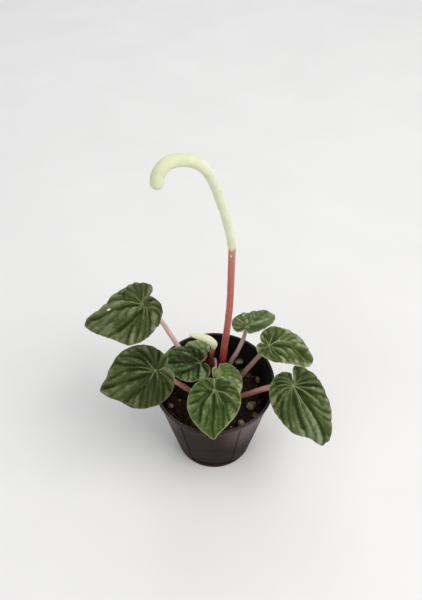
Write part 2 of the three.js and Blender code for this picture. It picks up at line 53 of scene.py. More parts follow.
LEAVES = {
    "leaf_a": dict(at=[-34.7, 25.61, 80], az=-165.4, dip=8.5, roll=-3, ku=0.004, kv=0.011,
        edge=[[-4.2, -3.2], [-7.2, -0.5], [-8.7, 3.3], [-8.5, 7.3], [-7, 10.9], [-4.6, 14.1], [-1.4, 16.6], [2.2, 18.3],
              [6.2, 19.2], [10.2, 19.1], [13.7, 17.3], [16.8, 14.7], [19.9, 12.1], [23, 9.5], [26, 6.7], [28.5, 3.7],
              [30.1, 0], [27.9, -3.1], [24.2, -4.5], [20.6, -5.9], [17.4, -8.2], [15.1, -11], [11.7, -13.1], [8.3, -14.7],
              [4.6, -16.1], [0.7, -16.4], [-2.8, -15.1], [-5.5, -12.3], [-6.8, -8.4], [-5.6, -4.9], [-2.2, -2.8]]),
    "leaf_b": dict(at=[-27.56, -5.68, 68], az=-157.5, dip=0, roll=-16, ku=0.003, kv=0.008,
        edge=[[-5.7, 0.1], [-7.2, 3.1], [-7.2, 6.6], [-5.8, 9.7], [-3.6, 12.4], [-0.7, 14.3], [2.5, 15.5], [6, 15.8],
              [9.5, 15.4], [12.8, 14.5], [15.9, 13], [18.3, 10.6], [20.7, 8], [23.3, 5.7], [25.6, 3.1], [27, 0],
              [24.7, -2.7], [22.1, -4.9], [20.1, -7.9], [17.6, -10.6], [14.9, -13.1], [11.8, -14.9], [8.3, -15.8], [4.5, -15.7],
              [0.9, -14.8], [-2.2, -13.1], [-4.7, -10.5], [-6.4, -7.2], [-7.4, -3.5], [-6, -0.6], [-2.6, 0.9]]),
    "leaf_c": dict(at=[-6.77, 2.67, 62.7], az=172.7, dip=4, roll=-7, ku=0.004, kv=0.007,
        edge=[[-2.1, -0.4], [-4.5, 1.5], [-5.5, 4.5], [-4.7, 7.1], [-2.2, 8.6], [0.8, 9.8], [3.7, 10.4], [6.7, 10],
              [9.5, 8.9], [12.2, 7.4], [14.7, 5.6], [17.1, 3.6], [19.5, 1.7], [22, 0], [20.6, -2.3], [18.3, -4.2],
              [16.4, -6.4], [14.2, -8], [11.5, -8.9], [8.7, -9.6], [6, -10], [3.3, -9], [0.7, -7.4], [-1.3, -5.4],
              [-1.8, -2.6]]),
    "leaf_d": dict(at=[-0.05, -13.44, 63], az=-90.9, dip=11, roll=0, ku=0.004, kv=0.008,
        edge=[[-5.1, 1.3], [-5.8, 4.5], [-4.7, 7.6], [-2.4, 10.1], [0.6, 11.7], [3.9, 12.4], [7.1, 12.1], [10.2, 11],
              [13, 9.3], [15.8, 7.1], [18.3, 4.7], [20.7, 2.2], [23, 0], [21.4, -3], [19.3, -5.8], [16.8, -8.2],
              [13.9, -10.3], [10.8, -11.7], [7.4, -12.4], [4, -12.3], [0.6, -11.3], [-2.3, -9.6], [-4.6, -7.2], [-5.8, -4.1],
              [-5.6, -0.5]]),
    "leaf_e": dict(at=[1.63, -1.63, 61.5], az=-54.8, dip=28, roll=-10, ku=0.005, kv=-0.006,
        edge=[[-2.4, 2.9], [-1.9, 5.1], [-0.9, 7], [0.7, 8.5], [2.6, 9.5], [4.7, 10.1], [6.9, 10.2], [9, 9.8],
              [11, 8.8], [12.7, 7.4], [14.1, 5.8], [15.4, 3.9], [16.3, 2], [16.9, 0], [15.4, -1.9], [13.7, -3.2],
              [11.9, -4], [9.8, -4.4], [7.7, -4.5], [5.5, -4.3], [3.3, -3.9], [1.2, -3.3], [-0.9, -2.5], [-2.3, -1.3],
              [-2.4, 0.8]]),
    "leaf_f": dict(at=[16.45, 19.11, 70], az=26.6, dip=3, roll=-15, ku=0.004, kv=-0.009,
        edge=[[-3.1, -2.5], [-5.5, -2], [-6.5, 0.5], [-6.4, 3.3], [-5.6, 5.9], [-4, 8.1], [-1.8, 9.6], [0.8, 10.4],
              [3.5, 10.3], [5.6, 9.1], [8.2, 9.6], [10.8, 8.8], [13.5, 8.3], [15.7, 7.6], [16.4, 4.8], [17.1, 2.2],
              [15.9, -0.3], [14.1, -2.3], [11.8, -3.9], [9.4, -5.1], [6.8, -6], [4, -6.7], [1.2, -6.9], [-1.2, -6.1],
              [-2.7, -4]]),
    "leaf_g": dict(at=[26.17, 5.46, 72.5], az=-13.2, dip=8, roll=-5, ku=0.004, kv=-0.003,
        edge=[[-3.9, 0.8], [-5, 3.9], [-4.4, 7.4], [-2.5, 10.3], [0.3, 12.2], [3.7, 12.9], [7.2, 12.7], [10.6, 11.9],
              [13.7, 10.6], [16.3, 8.4], [18.5, 5.7], [20.7, 3], [22.2, 0], [21.6, -3.3], [19.9, -6.3], [17, -7.4],
              [13.7, -7.5], [10.5, -8.3], [7.3, -9.2], [4, -9.8], [0.5, -9.5], [-2.6, -8.3], [-4.9, -6], [-5.7, -2.8],
              [-4.4, 0.3]]),
    "leaf_h": dict(at=[37.28, -10.72, 62.5], az=-60.2, dip=24, roll=-3, ku=0.004, kv=0.008,
        edge=[[-2.4, 2.6], [-6.1, 2.9], [-7.9, 5.3], [-5.7, 8.7], [-3, 11.5], [0.3, 13.6], [4.1, 14.1], [8, 14],
              [11.8, 13.5], [15.6, 12.7], [19.3, 11.5], [22.6, 9.4], [26.1, 7.8], [29.1, 5.5], [30.4, 1.7], [29.1, -1.9],
              [25.8, -3.9], [23.2, -6.6], [20.9, -9.6], [17.8, -11.7], [14.2, -13], [10.5, -14], [6.7, -14.5], [2.8, -14.1],
              [-0.8, -13], [-4.1, -11], [-6.5, -8.1], [-7.9, -4.6], [-7.6, -0.8], [-5.2, 2.3], [-1.7, 2]]),
    "leaf_i": dict(at=[-5.2, 15.06, 56], az=155.1, dip=8, roll=0, ku=0.004, kv=0.006,
        edge=[[-1.6, 0.8], [-1.4, 2.4], [-0.8, 3.6], [0.1, 4.3], [1.3, 4.6], [2.6, 4.6], [4, 4.3], [5.5, 3.7],
              [6.9, 3.1], [8.2, 2.3], [9.4, 1.4], [10.3, 0.4], [10.9, -0.6], [10.6, -2], [9.9, -3.2], [8.8, -4.2],
              [7.5, -5.2], [6.1, -5.9], [4.6, -6.3], [3.2, -6.4], [1.8, -6.1], [0.5, -5.5], [-0.6, -4.5], [-1.5, -3.3],
              [-2.2, -1.7]]),
}
STALKS = {
    "petiole_a": dict(r=[1.45, 1.15], pts=[[-4.4, 2.8, 38.3], [-11.3, 9.8, 49.3], [-18.8, 17.3, 59], [-22.4, 20.6, 63.8], [-25.8, 23, 69.3], [-32.9, 25.1, 77.4]]),
    "petiole_b": dict(r=[1.5, 1.2], pts=[[-5.2, -1.1, 38.6], [-12.5, -2.5, 47], [-15.8, -2.9, 51.4], [-19.2, -3.1, 55.8], [-26, -5.2, 65.3]]),
    "petiole_c": dict(r=[0.95, 0.8], pts=[[-2.2, 4.6, 39.4], [-3.4, 8.4, 47], [-3.6, 10.4, 55], [-3.6, 9.6, 60.2], [-3.95, 8.4, 62.2]]),
    "petiole_d": dict(r=[1.35, 1.1], pts=[[0, -5.4, 39], [-0.1, -8.6, 48], [-0.1, -11.6, 56], [-0.05, -12.9, 61.2]]),
    "petiole_e": dict(r=[0.95, 0.8], pts=[[0.9, 5, 39.7], [0.6, 5.3, 48], [0.3, 5.5, 55], [0.25, 5.5, 61.2], [0.7, 4.2, 63], [1.1, 2.5, 62.8]]),
    "petiole_f": dict(r=[1.4, 0.95], pts=[[3.9, 3.6, 39.4], [8.6, 10.3, 52.8], [11.6, 12.9, 57.5], [14.8, 16.9, 63.4], [16.1, 18.5, 68.3]]),
    "petiole_g": dict(r=[1.4, 1.1], pts=[[5.4, 0.6, 39.4], [16.9, 3.5, 57.1], [21.7, 4.5, 65], [25.3, 5.2, 70.5]]),
    "petiole_h": dict(r=[1.6, 1.3], pts=[[5, -2.4, 38.1], [14.8, -4.3, 44.6], [20.9, -6, 50.8], [26.5, -7.6, 56.1], [34.7, -10, 60.2]]),
    "petiole_i": dict(r=[0.8, 0.65], pts=[[-3.6, 3.9, 41.7], [-6, 7.4, 47.5], [-6.3, 12, 52.2], [-5.6, 14.2, 54.2]]),
}
SPIKES = {
    "tall_peduncle": dict(r=[2.05, 1.75, 1.6, 1.5, 1.4, 1.4], pts=[[1.9, 1.2, 42], [3.2, 3.8, 51], [4.15, 5.5, 60.2], [5.1, 5.1, 73.6], [6.2, 4.5, 88.5], [6.9, 3.6, 102.5], [7.1, 2.2, 116.2], [7.1, 0.6, 130.3], [7.1, -0.5, 140.2]]),
    "tall_spadix": dict(r=[1.6, 1.6, 1.65, 1.75, 1.95, 2.15, 2.2], pts=[[7.05, -0.6, 140.6], [6.6, -1.3, 146.9], [5.3, -2.5, 154.4], [3.9, -4, 162], [2.2, -5.5, 169.2], [0.6, -7, 176.1], [-1.1, -9, 182.1], [-3.2, -11, 187.1], [-5.8, -13, 190.7], [-8.5, -15, 193], [-11.2, -17, 194.5], [-13.6, -19, 195.3], [-15.7, -21, 194.9], [-17.3, -22.5, 193.2], [-17.8, -23.7, 190.3], [-17.8, -24.2, 187.6]]),
    "young_peduncle": dict(r=[1.35, 1.2, 1.2], pts=[[-1.85, 1.7, 42], [-2.2, 5.1, 47.8], [-1.5, 8, 53.3], [-1.2, 9.6, 59.3], [-0.4, 10.5, 63.3]]),
    "young_spadix": dict(r=[1.5, 1.75, 1.75, 1.5], pts=[[-0.3, 10.6, 63.8], [0.3, 11.2, 66], [-0.9, 11.7, 68], [-2.9, 12.4, 69.1], [-5.3, 13.2, 69.4], [-8.2, 14, 69.4], [-11.5, 15, 69.1]]),
}
PUMICE = {
    "pumice_1": dict(at=[12.6, 19.4, 39], half=[1.8, 1.5, 1.5], seed=1),
    "pumice_2": dict(at=[21.3, 9.2, 38.9], half=[1.3, 1.8, 1.5], seed=2),
    "pumice_3": dict(at=[17.9, -6.6, 39.2], half=[2.3, 2.4, 1.8], seed=3),
    "pumice_4": dict(at=[20.4, -12, 38.6], half=[1.5, 1.4, 1.2], seed=4),
    "pumice_5": dict(at=[13.4, -17.2, 39.1], half=[2, 2.2, 1.7], seed=5),
    "pumice_6": dict(at=[-21.6, -6.2, 38.4], half=[1.4, 1.2, 1], seed=6),
}
BARK = {
    "bark_1": dict(at=[16.4, 13.7, 37.5], turn=-35, tilt=5, outline=[[-3.5, -0.9], [-1.3, -1.8], [2, -1.5], [3.4, -0.3], [2.9, 1.2], [0.6, 1.7], [-2.4, 1.3]], thick=1.3),
    "bark_2": dict(at=[-11.5, -19, 37.5], turn=-32, tilt=4, outline=[[-2.4, -0.8], [0.4, -1.2], [2.5, -0.3], [1.7, 0.9], [-1.4, 1]], thick=1.1),
}
# Furrows, raised pale veins and broad hollows of the larger blades, in the plane of each blade about its stalk (mm);
# the hollows are lowered and also painted darker as painted shade:
# furrows (order, points), lines (strength, points), hollows (strength, half width, points).
VEINS = {
    "leaf_a": dict(
        furrows=[(0, [(0.0, 0.0), (4.4, -0.8), (8.8, -1.8), (12.9, -2.0), (17.2, -1.8), (22.6, -1.0), (29.2, -0.4)]),
                 (1, [(0.4, 0.8), (3.1, 3.8), (7.1, 6.9), (11.1, 8.6), (15.0, 10.0), (20.3, 11.5)]),
                 (3, [(8.8, -1.8), (12.0, 1.3), (17.2, 3.8), (24.7, 6.9)]),
                 (3, [(15.0, -1.9), (19.2, 1.0), (24.3, 2.8), (27.3, 4.2)]),
                 (3, [(5.4, -0.9), (8.7, 2.7), (13.0, 6.2), (17.2, 8.3)]),
                 (1, [(0.2, 1.2), (1.9, 4.2), (4.5, 7.8), (7.6, 11.0), (10.2, 14.1), (12.5, 17.7)]),
                 (3, [(6.2, 9.4), (9.8, 11.8), (13.5, 14.0), (15.6, 15.4)]),
                 (1, [(0.0, 1.3), (1.6, 4.9), (3.4, 9.3), (5.2, 13.4), (8.5, 18.6)]),
                 (1, [(-0.5, 1.4), (-0.2, 5.0), (0.4, 8.7), (1.9, 13.0), (4.6, 18.2)]),
                 (1, [(-1.1, 1.7), (-2.1, 5.0), (-1.4, 9.8), (-0.4, 13.7), (1.4, 17.3)]),
                 (1, [(-1.7, 1.6), (-3.3, 4.3), (-5.5, 6.6), (-6.0, 9.6), (-4.5, 13.9)]),
                 (1, [(-1.8, 1.0), (-4.3, 2.4), (-6.6, 4.1), (-8.3, 8.2)]),
                 (1, [(-1.8, -0.3), (-4.2, -0.8), (-6.9, -0.2), (-8.7, 2.7)]),
                 (1, [(1.7, -1.5), (6.2, -5.2), (10.5, -7.5), (14.0, -8.4), (17.0, -8.0)]),
                 (1, [(0.3, -1.1), (2.4, -3.3), (4.9, -6.6), (7.2, -10.1), (10.9, -12.6)]),
                 (3, [(4.5, -6.0), (7.3, -7.8), (10.8, -9.1), (13.9, -9.4)]),
                 (1, [(0.3, -2.1), (1.8, -6.6), (3.8, -10.7), (5.8, -14.9)]),
                 (1, [(0.1, -2.7), (0.8, -8.1), (1.7, -12.6), (2.5, -16.3)]),
                 (1, [(-0.2, -3.2), (-0.5, -8.2), (-1.3, -16.1)]),
                 (1, [(-0.9, -3.0), (-2.9, -7.2), (-4.9, -12.9)])],
        lines=[(1.0, [(0.0, 0.0), (2.3, -1.2), (5.5, -3.0), (8.3, -4.8), (11.7, -6.5), (15.2, -7.6), (17.9, -7.4)]),
               (0.8, [(0.7, 0.7), (3.3, 1.2), (6.0, 1.9), (8.0, 1.8)]),
               (0.7, [(0.6, 1.3), (2.3, 2.8), (3.7, 4.4)]),
               (0.7, [(-0.2, 1.6), (0.1, 4.3), (0.7, 7.0)]),
               (0.6, [(-1.1, 2.0), (-1.3, 4.8), (-0.6, 8.5)]),
               (0.5, [(-1.7, 2.5), (-4.1, 4.1), (-6.7, 6.0), (-7.0, 9.4)]),
               (0.6, [(0.3, -0.8), (1.7, -4.4), (3.2, -8.9), (5.5, -13.0)]),
               (0.6, [(-0.1, -0.9), (-1.3, -4.2), (-2.5, -9.0)]),
               (0.9, [(-0.0, -1.3), (-0.5, -2.3), (-2.1, -3.0), (-4.0, -3.6)])],
        hollows=[(0.8, 0.9, [(2.1, 0.2), (6.9, -1.2), (12.0, -1.2)]),
                 (0.9, 0.9, [(2.3, 3.5), (7.2, 7.1), (11.1, 8.9), (14.5, 10.2)]),
                 (0.6, 0.8, [(19.4, -1.0), (23.1, -0.9), (26.2, -1.9)]),
                 (0.6, 0.8, [(-3.2, -0.7), (-5.2, -0.7)]),
                 (0.5, 0.6, [(7.6, -11.5), (8.2, -7.1)]),
                 (0.4, 0.7, [(8.0, 10.3), (10.7, 15.0)]),
                 (0.4, 0.7, [(5.1, 10.9), (6.3, 15.5)]),
                 (0.4, 0.6, [(-2.2, 5.7), (-0.7, 12.7)])]),
    "leaf_b": dict(
        furrows=[(0, [(0.0, 0.0), (1.7, -0.0), (5.3, 0.4), (8.8, 0.7), (12.7, 0.5), (16.4, 0.0), (20.8, 0.1), (25.9, -0.5)]),
                 (1, [(1.5, -0.8), (5.2, -2.6), (9.1, -4.1), (13.3, -4.7), (18.2, -4.1), (21.6, -3.4)]),
                 (1, [(1.3, -1.3), (4.8, -4.0), (8.5, -6.0), (12.3, -7.8), (15.5, -10.2), (17.0, -10.9)]),
                 (1, [(1.1, -1.7), (2.9, -5.7), (5.0, -8.9), (8.2, -11.3), (12.6, -12.8)]),
                 (3, [(6.4, -4.9), (9.2, -8.4), (12.3, -10.7), (15.0, -11.5)]),
                 (1, [(0.5, -2.0), (1.0, -6.1), (2.2, -10.0), (4.7, -14.3)]),
                 (3, [(3.8, -6.9), (5.7, -11.4), (8.6, -14.4)]),
                 (1, [(-0.1, -1.8), (-1.0, -4.8), (-1.5, -8.6), (-0.9, -13.0)]),
                 (1, [(-0.8, -1.6), (-3.0, -4.6), (-4.5, -7.5), (-4.6, -10.6)]),
                 (1, [(-1.2, -0.6), (-3.9, -1.8), (-6.6, -4.4)]),
                 (1, [(-1.3, 1.2), (-3.2, 2.9), (-4.9, 4.9), (-5.9, 7.0)]),
                 (1, [(-1.2, 1.5), (-2.6, 5.1), (-3.4, 8.4), (-3.3, 12.0)]),
                 (1, [(-0.9, 1.6), (-1.3, 5.4), (-0.7, 9.1), (1.8, 14.6)]),
                 (1, [(-0.2, 1.4), (0.5, 5.3), (1.6, 9.3), (4.8, 14.9)]),
                 (1, [(0.2, 1.2), (1.9, 4.3), (3.7, 8.1), (7.5, 14.9)]),
                 (1, [(0.6, 1.1), (2.9, 3.4), (5.4, 6.5), (7.5, 10.2), (9.9, 14.8)]),
                 (1, [(1.0, 0.7), (4.1, 2.9), (7.2, 5.4), (9.8, 8.9), (12.7, 14.0)]),
                 (1, [(1.4, 0.5), (5.5, 2.4), (9.7, 4.5), (13.5, 6.5), (18.5, 9.2)]),
                 (3, [(9.5, 5.5), (12.7, 8.3), (15.8, 11.9)]),
                 (3, [(6.9, 0.6), (10.2, 3.2), (14.9, 5.5), (20.8, 7.3)]),
                 (3, [(13.2, 0.5), (17.2, 2.5), (24.0, 4.1)]),
                 (3, [(9.2, -4.0), (12.1, -2.7), (16.9, -1.5), (20.2, -0.2)])],
        lines=[(0.9, [(1.0, 0.6), (2.9, 2.4), (5.1, 4.3)]),
               (0.7, [(-0.4, 1.4), (-0.0, 3.4), (0.6, 5.5)]),
               (0.6, [(-1.7, 1.4), (-3.4, 3.6), (-5.2, 6.2)]),
               (0.8, [(0.7, -1.6), (1.6, -4.6), (2.8, -7.6)]),
               (0.6, [(1.0, -0.8), (3.3, -2.5), (6.7, -4.3), (9.7, -5.4)]),
               (0.7, [(1.6, -0.3), (4.0, -0.5), (6.7, -1.4), (9.2, -2.5)]),
               (1.0, [(-1.8, 0.4), (-3.3, 0.5), (-5.7, 0.1)])],
        hollows=[(0.6, 0.8, [(2.7, 0.1), (7.4, 0.7), (12.2, 0.6)]),
                 (0.6, 0.7, [(3.5, -1.9), (7.9, -3.6), (11.4, -4.7)]),
                 (0.5, 0.8, [(3.8, -4.1), (8.1, -5.8), (12.4, -7.5)]),
                 (0.5, 0.8, [(2.2, -4.3), (3.9, -7.8), (6.5, -10.5)]),
                 (0.5, 0.7, [(0.5, -4.8), (1.5, -9.1), (2.9, -12.1)]),
                 (0.5, 0.7, [(-2.9, -4.6), (-4.5, -7.5)]),
                 (0.6, 0.8, [(-1.2, 6.9), (0.6, 12.6)]),
                 (0.5, 0.7, [(-3.0, 7.5), (-3.1, 10.5)]),
                 (0.5, 0.7, [(1.4, 2.9), (3.0, 6.9)]),
                 (0.5, 0.8, [(7.7, 5.7), (12.6, 7.3), (17.0, 9.0)]),
                 (0.5, 0.8, [(1.8, 8.3), (4.1, 12.8)]),
                 (0.5, 0.9, [(24.5, -0.4), (20.8, 0.1)]),
                 (0.4, 0.8, [(16.4, -11.2), (13.9, -9.0)])]),
    "leaf_c": dict(
        furrows=[(0, [(0.0, 0.0), (3.2, -0.4), (7.2, -0.2), (11.6, 0.1), (16.1, 0.5)]),
                 (1, [(0.8, -0.6), (3.4, -1.7), (6.5, -2.6), (9.5, -3.0), (13.2, -3.6), (16.7, -3.4)]),
                 (3, [(5.7, -0.3), (9.4, -1.7), (12.4, -1.7), (15.8, -1.2)]),
                 (1, [(0.8, -0.9), (2.9, -3.4), (5.4, -5.4), (8.6, -6.5), (12.2, -7.1), (14.2, -7.0)]),
                 (3, [(7.0, -2.7), (10.3, -4.9), (14.0, -5.5)]),
                 (1, [(0.6, -0.9), (2.0, -3.7), (3.9, -6.4), (5.9, -8.3), (8.3, -10.1)]),
                 (3, [(5.4, -5.3), (8.1, -8.2), (10.5, -9.3)]),
                 (1, [(0.2, -1.2), (0.6, -3.8), (1.3, -6.4), (3.1, -8.7)]),
                 (1, [(-0.2, -1.0), (-0.8, -3.3), (-0.6, -5.3)]),
                 (1, [(0.7, 0.5), (3.1, 3.0), (5.6, 4.4), (8.3, 5.6), (11.7, 6.5)]),
                 (3, [(3.2, -0.2), (6.4, 1.6), (9.7, 2.6), (13.7, 3.1)]),
                 (3, [(4.6, 3.9), (4.8, 6.6), (4.9, 9.9)]),
                 (3, [(2.4, 2.4), (2.6, 5.7), (2.4, 9.5)]),
                 (3, [(8.3, 5.7), (8.8, 7.7), (8.8, 9.5)]),
                 (1, [(0.2, 0.7), (0.6, 3.5), (0.4, 6.6), (0.3, 8.6)]),
                 (1, [(-0.8, 0.7), (-2.5, 2.5), (-3.9, 4.7), (-4.2, 6.8)]),
                 (1, [(-1.3, 0.4), (-3.0, 1.1), (-5.0, 3.1)])],
        lines=[(0.7, [(0.0, 0.0), (1.7, -0.0), (3.6, 0.4)]),
               (0.6, [(-0.3, 0.7), (-1.1, 3.4), (-1.6, 6.5)]),
               (0.5, [(0.4, -0.9), (1.7, -2.0), (2.9, -3.6)])],
        hollows=[(0.8, 1.2, [(1.8, -0.8), (5.4, -1.5), (8.4, -2.0)]),
                 (0.7, 0.7, [(2.6, -3.4), (4.3, -6.8)]),
                 (0.7, 0.7, [(2.0, 1.9), (4.6, 4.2), (7.9, 5.6)]),
                 (0.6, 0.7, [(0.8, 2.4), (0.3, 7.1)]),
                 (0.6, 0.9, [(10.4, -2.0), (11.6, -3.4)]),
                 (0.5, 0.6, [(-2.2, 1.9), (-3.9, 4.2)]),
                 (0.5, 0.6, [(0.3, -2.1), (0.8, -5.5)]),
                 (0.6, 0.8, [(5.1, 0.0), (11.1, 0.4), (15.1, 0.3)])]),
    "leaf_d": dict(
        furrows=[(0, [(0.0, 0.0), (2.7, -0.1), (7.6, -0.3), (12.3, -0.5), (17.4, -0.8), (22.7, -0.2)]),
                 (1, [(0.8, -1.1), (3.4, -3.4), (5.3, -5.2), (8.0, -6.2), (11.3, -6.5), (16.3, -7.1)]),
                 (1, [(0.4, -1.1), (1.9, -3.8), (3.6, -6.1), (5.3, -8.4), (6.3, -11.4)]),
                 (1, [(0.0, -1.1), (0.3, -3.9), (0.2, -6.7), (0.7, -9.2), (1.6, -11.5)]),
                 (1, [(-0.6, -0.8), (-1.4, -3.4), (-2.3, -5.3), (-3.2, -8.1)]),
                 (1, [(-1.3, -0.6), (-2.5, -1.6), (-3.8, -2.8), (-5.3, -4.4)]),
                 (3, [(5.6, -5.4), (7.5, -7.2), (9.8, -9.0), (11.6, -10.6)]),
                 (3, [(3.6, -6.1), (2.9, -8.5), (3.8, -11.7)]),
                 (3, [(9.9, -6.4), (11.7, -7.6), (14.0, -8.7)]),
                 (3, [(7.1, -0.3), (10.0, -2.1), (13.2, -3.5), (18.7, -4.5)]),
                 (3, [(12.3, -0.5), (15.1, -1.9), (20.3, -2.7)]),
                 (1, [(1.0, 0.3), (3.7, 1.6), (6.1, 2.6), (9.0, 3.5), (12.7, 3.8), (17.7, 4.1)]),
                 (2, [(5.2, -0.1), (8.5, 1.4), (12.8, 1.8), (20.0, 1.6)]),
                 (1, [(0.7, 0.8), (2.7, 3.1), (5.6, 4.9), (9.4, 5.7), (14.2, 6.8)]),
                 (1, [(0.3, 0.8), (1.9, 3.6), (4.3, 6.4), (6.6, 8.5), (9.1, 10.3)]),
                 (1, [(-0.1, 0.9), (-0.0, 4.1), (0.6, 7.3), (1.5, 9.9), (3.4, 12.2)]),
                 (1, [(-0.6, 0.8), (-1.4, 3.1), (-1.8, 6.4), (-0.9, 10.1)]),
                 (1, [(-1.1, 0.5), (-2.8, 2.2), (-4.0, 4.5), (-3.7, 6.9)]),
                 (1, [(-1.5, 0.4), (-3.6, 1.5), (-5.5, 2.6)])],
        lines=[(1.2, [(-5.1, 0.1), (-2.8, 0.1), (-0.2, 0.0)]),
               (0.9, [(0.8, -0.3), (3.4, -2.0), (6.3, -4.0)]),
               (0.7, [(1.0, 0.6), (3.5, 1.4), (5.7, 1.7), (8.1, 1.7)]),
               (0.6, [(0.7, 1.2), (3.2, 2.2), (5.6, 2.9), (8.0, 3.0)]),
               (0.8, [(0.2, 1.0), (0.8, 3.1), (1.6, 5.2), (3.5, 7.3), (5.5, 10.3)]),
               (0.5, [(-0.2, -1.1), (-1.8, -3.9), (-3.7, -6.5)])],
        hollows=[(0.7, 0.6, [(2.2, -0.1), (7.6, -0.3), (12.8, -0.4)]),
                 (0.7, 0.7, [(4.7, -4.3), (7.1, -5.8), (10.8, -6.3), (14.5, -6.5)]),
                 (0.5, 0.7, [(7.5, 4.3), (13.6, 4.7)]),
                 (0.5, 0.6, [(5.0, -8.0), (5.9, -9.8)]),
                 (0.5, 0.5, [(0.4, -6.7), (0.9, -9.9)]),
                 (0.6, 0.6, [(-0.8, 1.3), (-1.1, 5.0)]),
                 (0.5, 0.7, [(3.4, 3.6), (5.8, 5.7)]),
                 (0.5, 0.6, [(0.7, -2.9), (2.2, -4.3)]),
                 (0.4, 0.5, [(13.2, -3.2), (15.5, -3.4)]),
                 (0.4, 0.6, [(14.6, -1.2), (20.0, -0.9)])]),
    "leaf_g": dict(
        furrows=[(0, [(0.0, 0.0), (2.1, 0.9), (4.8, 2.3), (7.7, 3.1), (10.7, 3.2), (13.8, 2.6), (17.5, 0.8), (21.7, -2.1)]),
                 (1, [(0.8, -0.7), (3.5, -2.3), (6.1, -3.6), (8.8, -5.2), (10.5, -6.8)]),
                 (1, [(0.9, -1.0), (2.6, -3.4), (4.2, -5.4), (6.7, -7.6)]),
                 (1, [(0.5, -1.5), (1.5, -4.4), (2.6, -8.0)]),
                 (1, [(-0.2, -1.7), (-0.6, -4.5), (-0.8, -7.6)]),
                 (3, [(5.3, 2.3), (7.6, 0.3), (10.1, -1.7), (12.8, -5.7)]),
                 (3, [(9.2, 3.2), (11.7, 1.0), (14.3, -1.4), (16.5, -5.9)]),
                 (3, [(13.8, 2.5), (16.3, 0.5), (19.0, -2.8), (19.6, -4.4)]),
                 (1, [(-0.8, -1.3), (-2.3, -3.8), (-3.1, -6.4)]),
                 (1, [(-0.9, -0.6), (-3.0, -1.2), (-4.7, -2.5)]),
                 (1, [(-0.6, 0.8), (-2.4, 1.2), (-4.2, 1.9)]),
                 (1, [(-0.4, 1.2), (-2.2, 3.9), (-3.9, 6.0)]),
                 (1, [(-0.2, 1.6), (-0.6, 5.1), (-2.1, 8.9)]),
                 (1, [(0.1, 1.6), (1.4, 4.6), (2.2, 8.1), (1.7, 11.5)]),
                 (1, [(0.5, 1.3), (2.5, 4.4), (4.3, 7.5), (5.4, 11.6)]),
                 (3, [(5.0, 4.6), (6.6, 7.5), (8.8, 10.9)]),
                 (3, [(6.9, 4.9), (9.3, 7.7), (12.1, 9.4)]),
                 (3, [(9.5, 4.7), (12.3, 6.5), (15.0, 7.2)]),
                 (3, [(12.7, 3.4), (15.6, 4.4), (18.2, 4.0)]),
                 (3, [(15.9, 1.6), (18.4, 1.8), (20.6, 0.9)])],
        lines=[(1.0, [(0.0, 0.0), (1.5, 1.5), (3.2, 3.4), (5.9, 4.8), (8.9, 5.5), (11.4, 5.2), (14.0, 4.8)]),
               (0.8, [(0.2, -0.3), (1.3, -3.2), (2.4, -6.4)]),
               (0.8, [(-0.1, 0.6), (-1.6, 2.7), (-2.8, 5.0)]),
               (0.8, [(0.0, 0.8), (0.5, 4.0), (0.8, 6.9)]),
               (0.7, [(0.7, 0.6), (3.3, -0.6), (6.4, -1.6), (9.5, -3.2), (11.8, -5.2)]),
               (0.7, [(7.4, 1.5), (10.6, 0.2), (13.8, -1.6), (16.5, -3.6)]),
               (0.6, [(3.2, 3.3), (4.2, 6.2), (4.9, 8.7)]),
               (0.6, [(6.9, 4.9), (7.6, 7.2), (8.1, 9.0)]),
               (0.8, [(-0.2, -0.4), (-1.4, -2.0), (-2.9, -3.3)]),
               (0.6, [(1.6, -0.8), (3.7, -3.3), (5.9, -5.1)])],
        hollows=[(0.8, 1.1, [(2.1, 0.6), (5.4, 1.4), (9.3, 2.3)]),
                 (0.6, 0.6, [(3.1, -2.5), (6.2, -3.9)]),
                 (0.6, 0.6, [(8.3, -1.7), (10.6, -4.0)]),
                 (0.6, 0.6, [(-2.8, 5.3), (-1.7, 3.1)]),
                 (0.6, 0.5, [(-2.7, 0.2), (-4.2, 0.2)]),
                 (0.5, 0.5, [(1.1, 3.7), (1.9, 5.6)]),
                 (0.5, 0.5, [(15.3, -1.9), (17.5, -3.5)]),
                 (0.5, 0.7, [(13.7, 2.9), (17.3, 2.9)])]),
    "leaf_h": dict(
        furrows=[(0, [(0.0, 0.0), (2.1, 0.2), (5.6, 1.3), (9.6, 2.0), (13.9, 2.4), (18.2, 2.9), (22.7, 3.1), (26.9, 2.6), (29.7, 0.5)]),
                 (1, [(1.5, -1.2), (4.5, -2.6), (8.0, -3.7), (11.8, -4.3), (15.7, -4.7), (20.0, -5.0), (23.9, -5.6)]),
                 (1, [(1.7, -1.9), (4.1, -4.3), (7.0, -6.9), (10.6, -8.9), (14.5, -10.1), (18.4, -11.2)]),
                 (1, [(1.1, -1.9), (2.7, -5.3), (4.2, -8.3), (6.7, -10.7), (9.5, -12.1), (13.2, -13.1)]),
                 (3, [(5.2, -9.4), (6.7, -12.1), (8.1, -13.8)]),
                 (3, [(5.7, -3.2), (8.9, -6.1), (12.8, -7.4), (20.6, -8.9)]),
                 (1, [(0.5, -1.8), (0.1, -4.3), (0.7, -7.2), (2.0, -9.7), (4.2, -12.6), (4.9, -14.1)]),
                 (1, [(-0.1, -1.7), (-1.4, -4.0), (-1.9, -7.1), (-1.1, -9.7), (-0.2, -12.5)]),
                 (1, [(-0.7, -1.3), (-2.7, -3.3), (-4.0, -5.9), (-3.8, -8.7), (-3.4, -10.5)]),
                 (1, [(-1.2, -0.7), (-3.5, -2.2), (-5.3, -4.5), (-6.0, -7.4)]),
                 (1, [(-1.5, -0.2), (-4.0, -0.8), (-6.1, -1.8), (-7.6, -4.0)]),
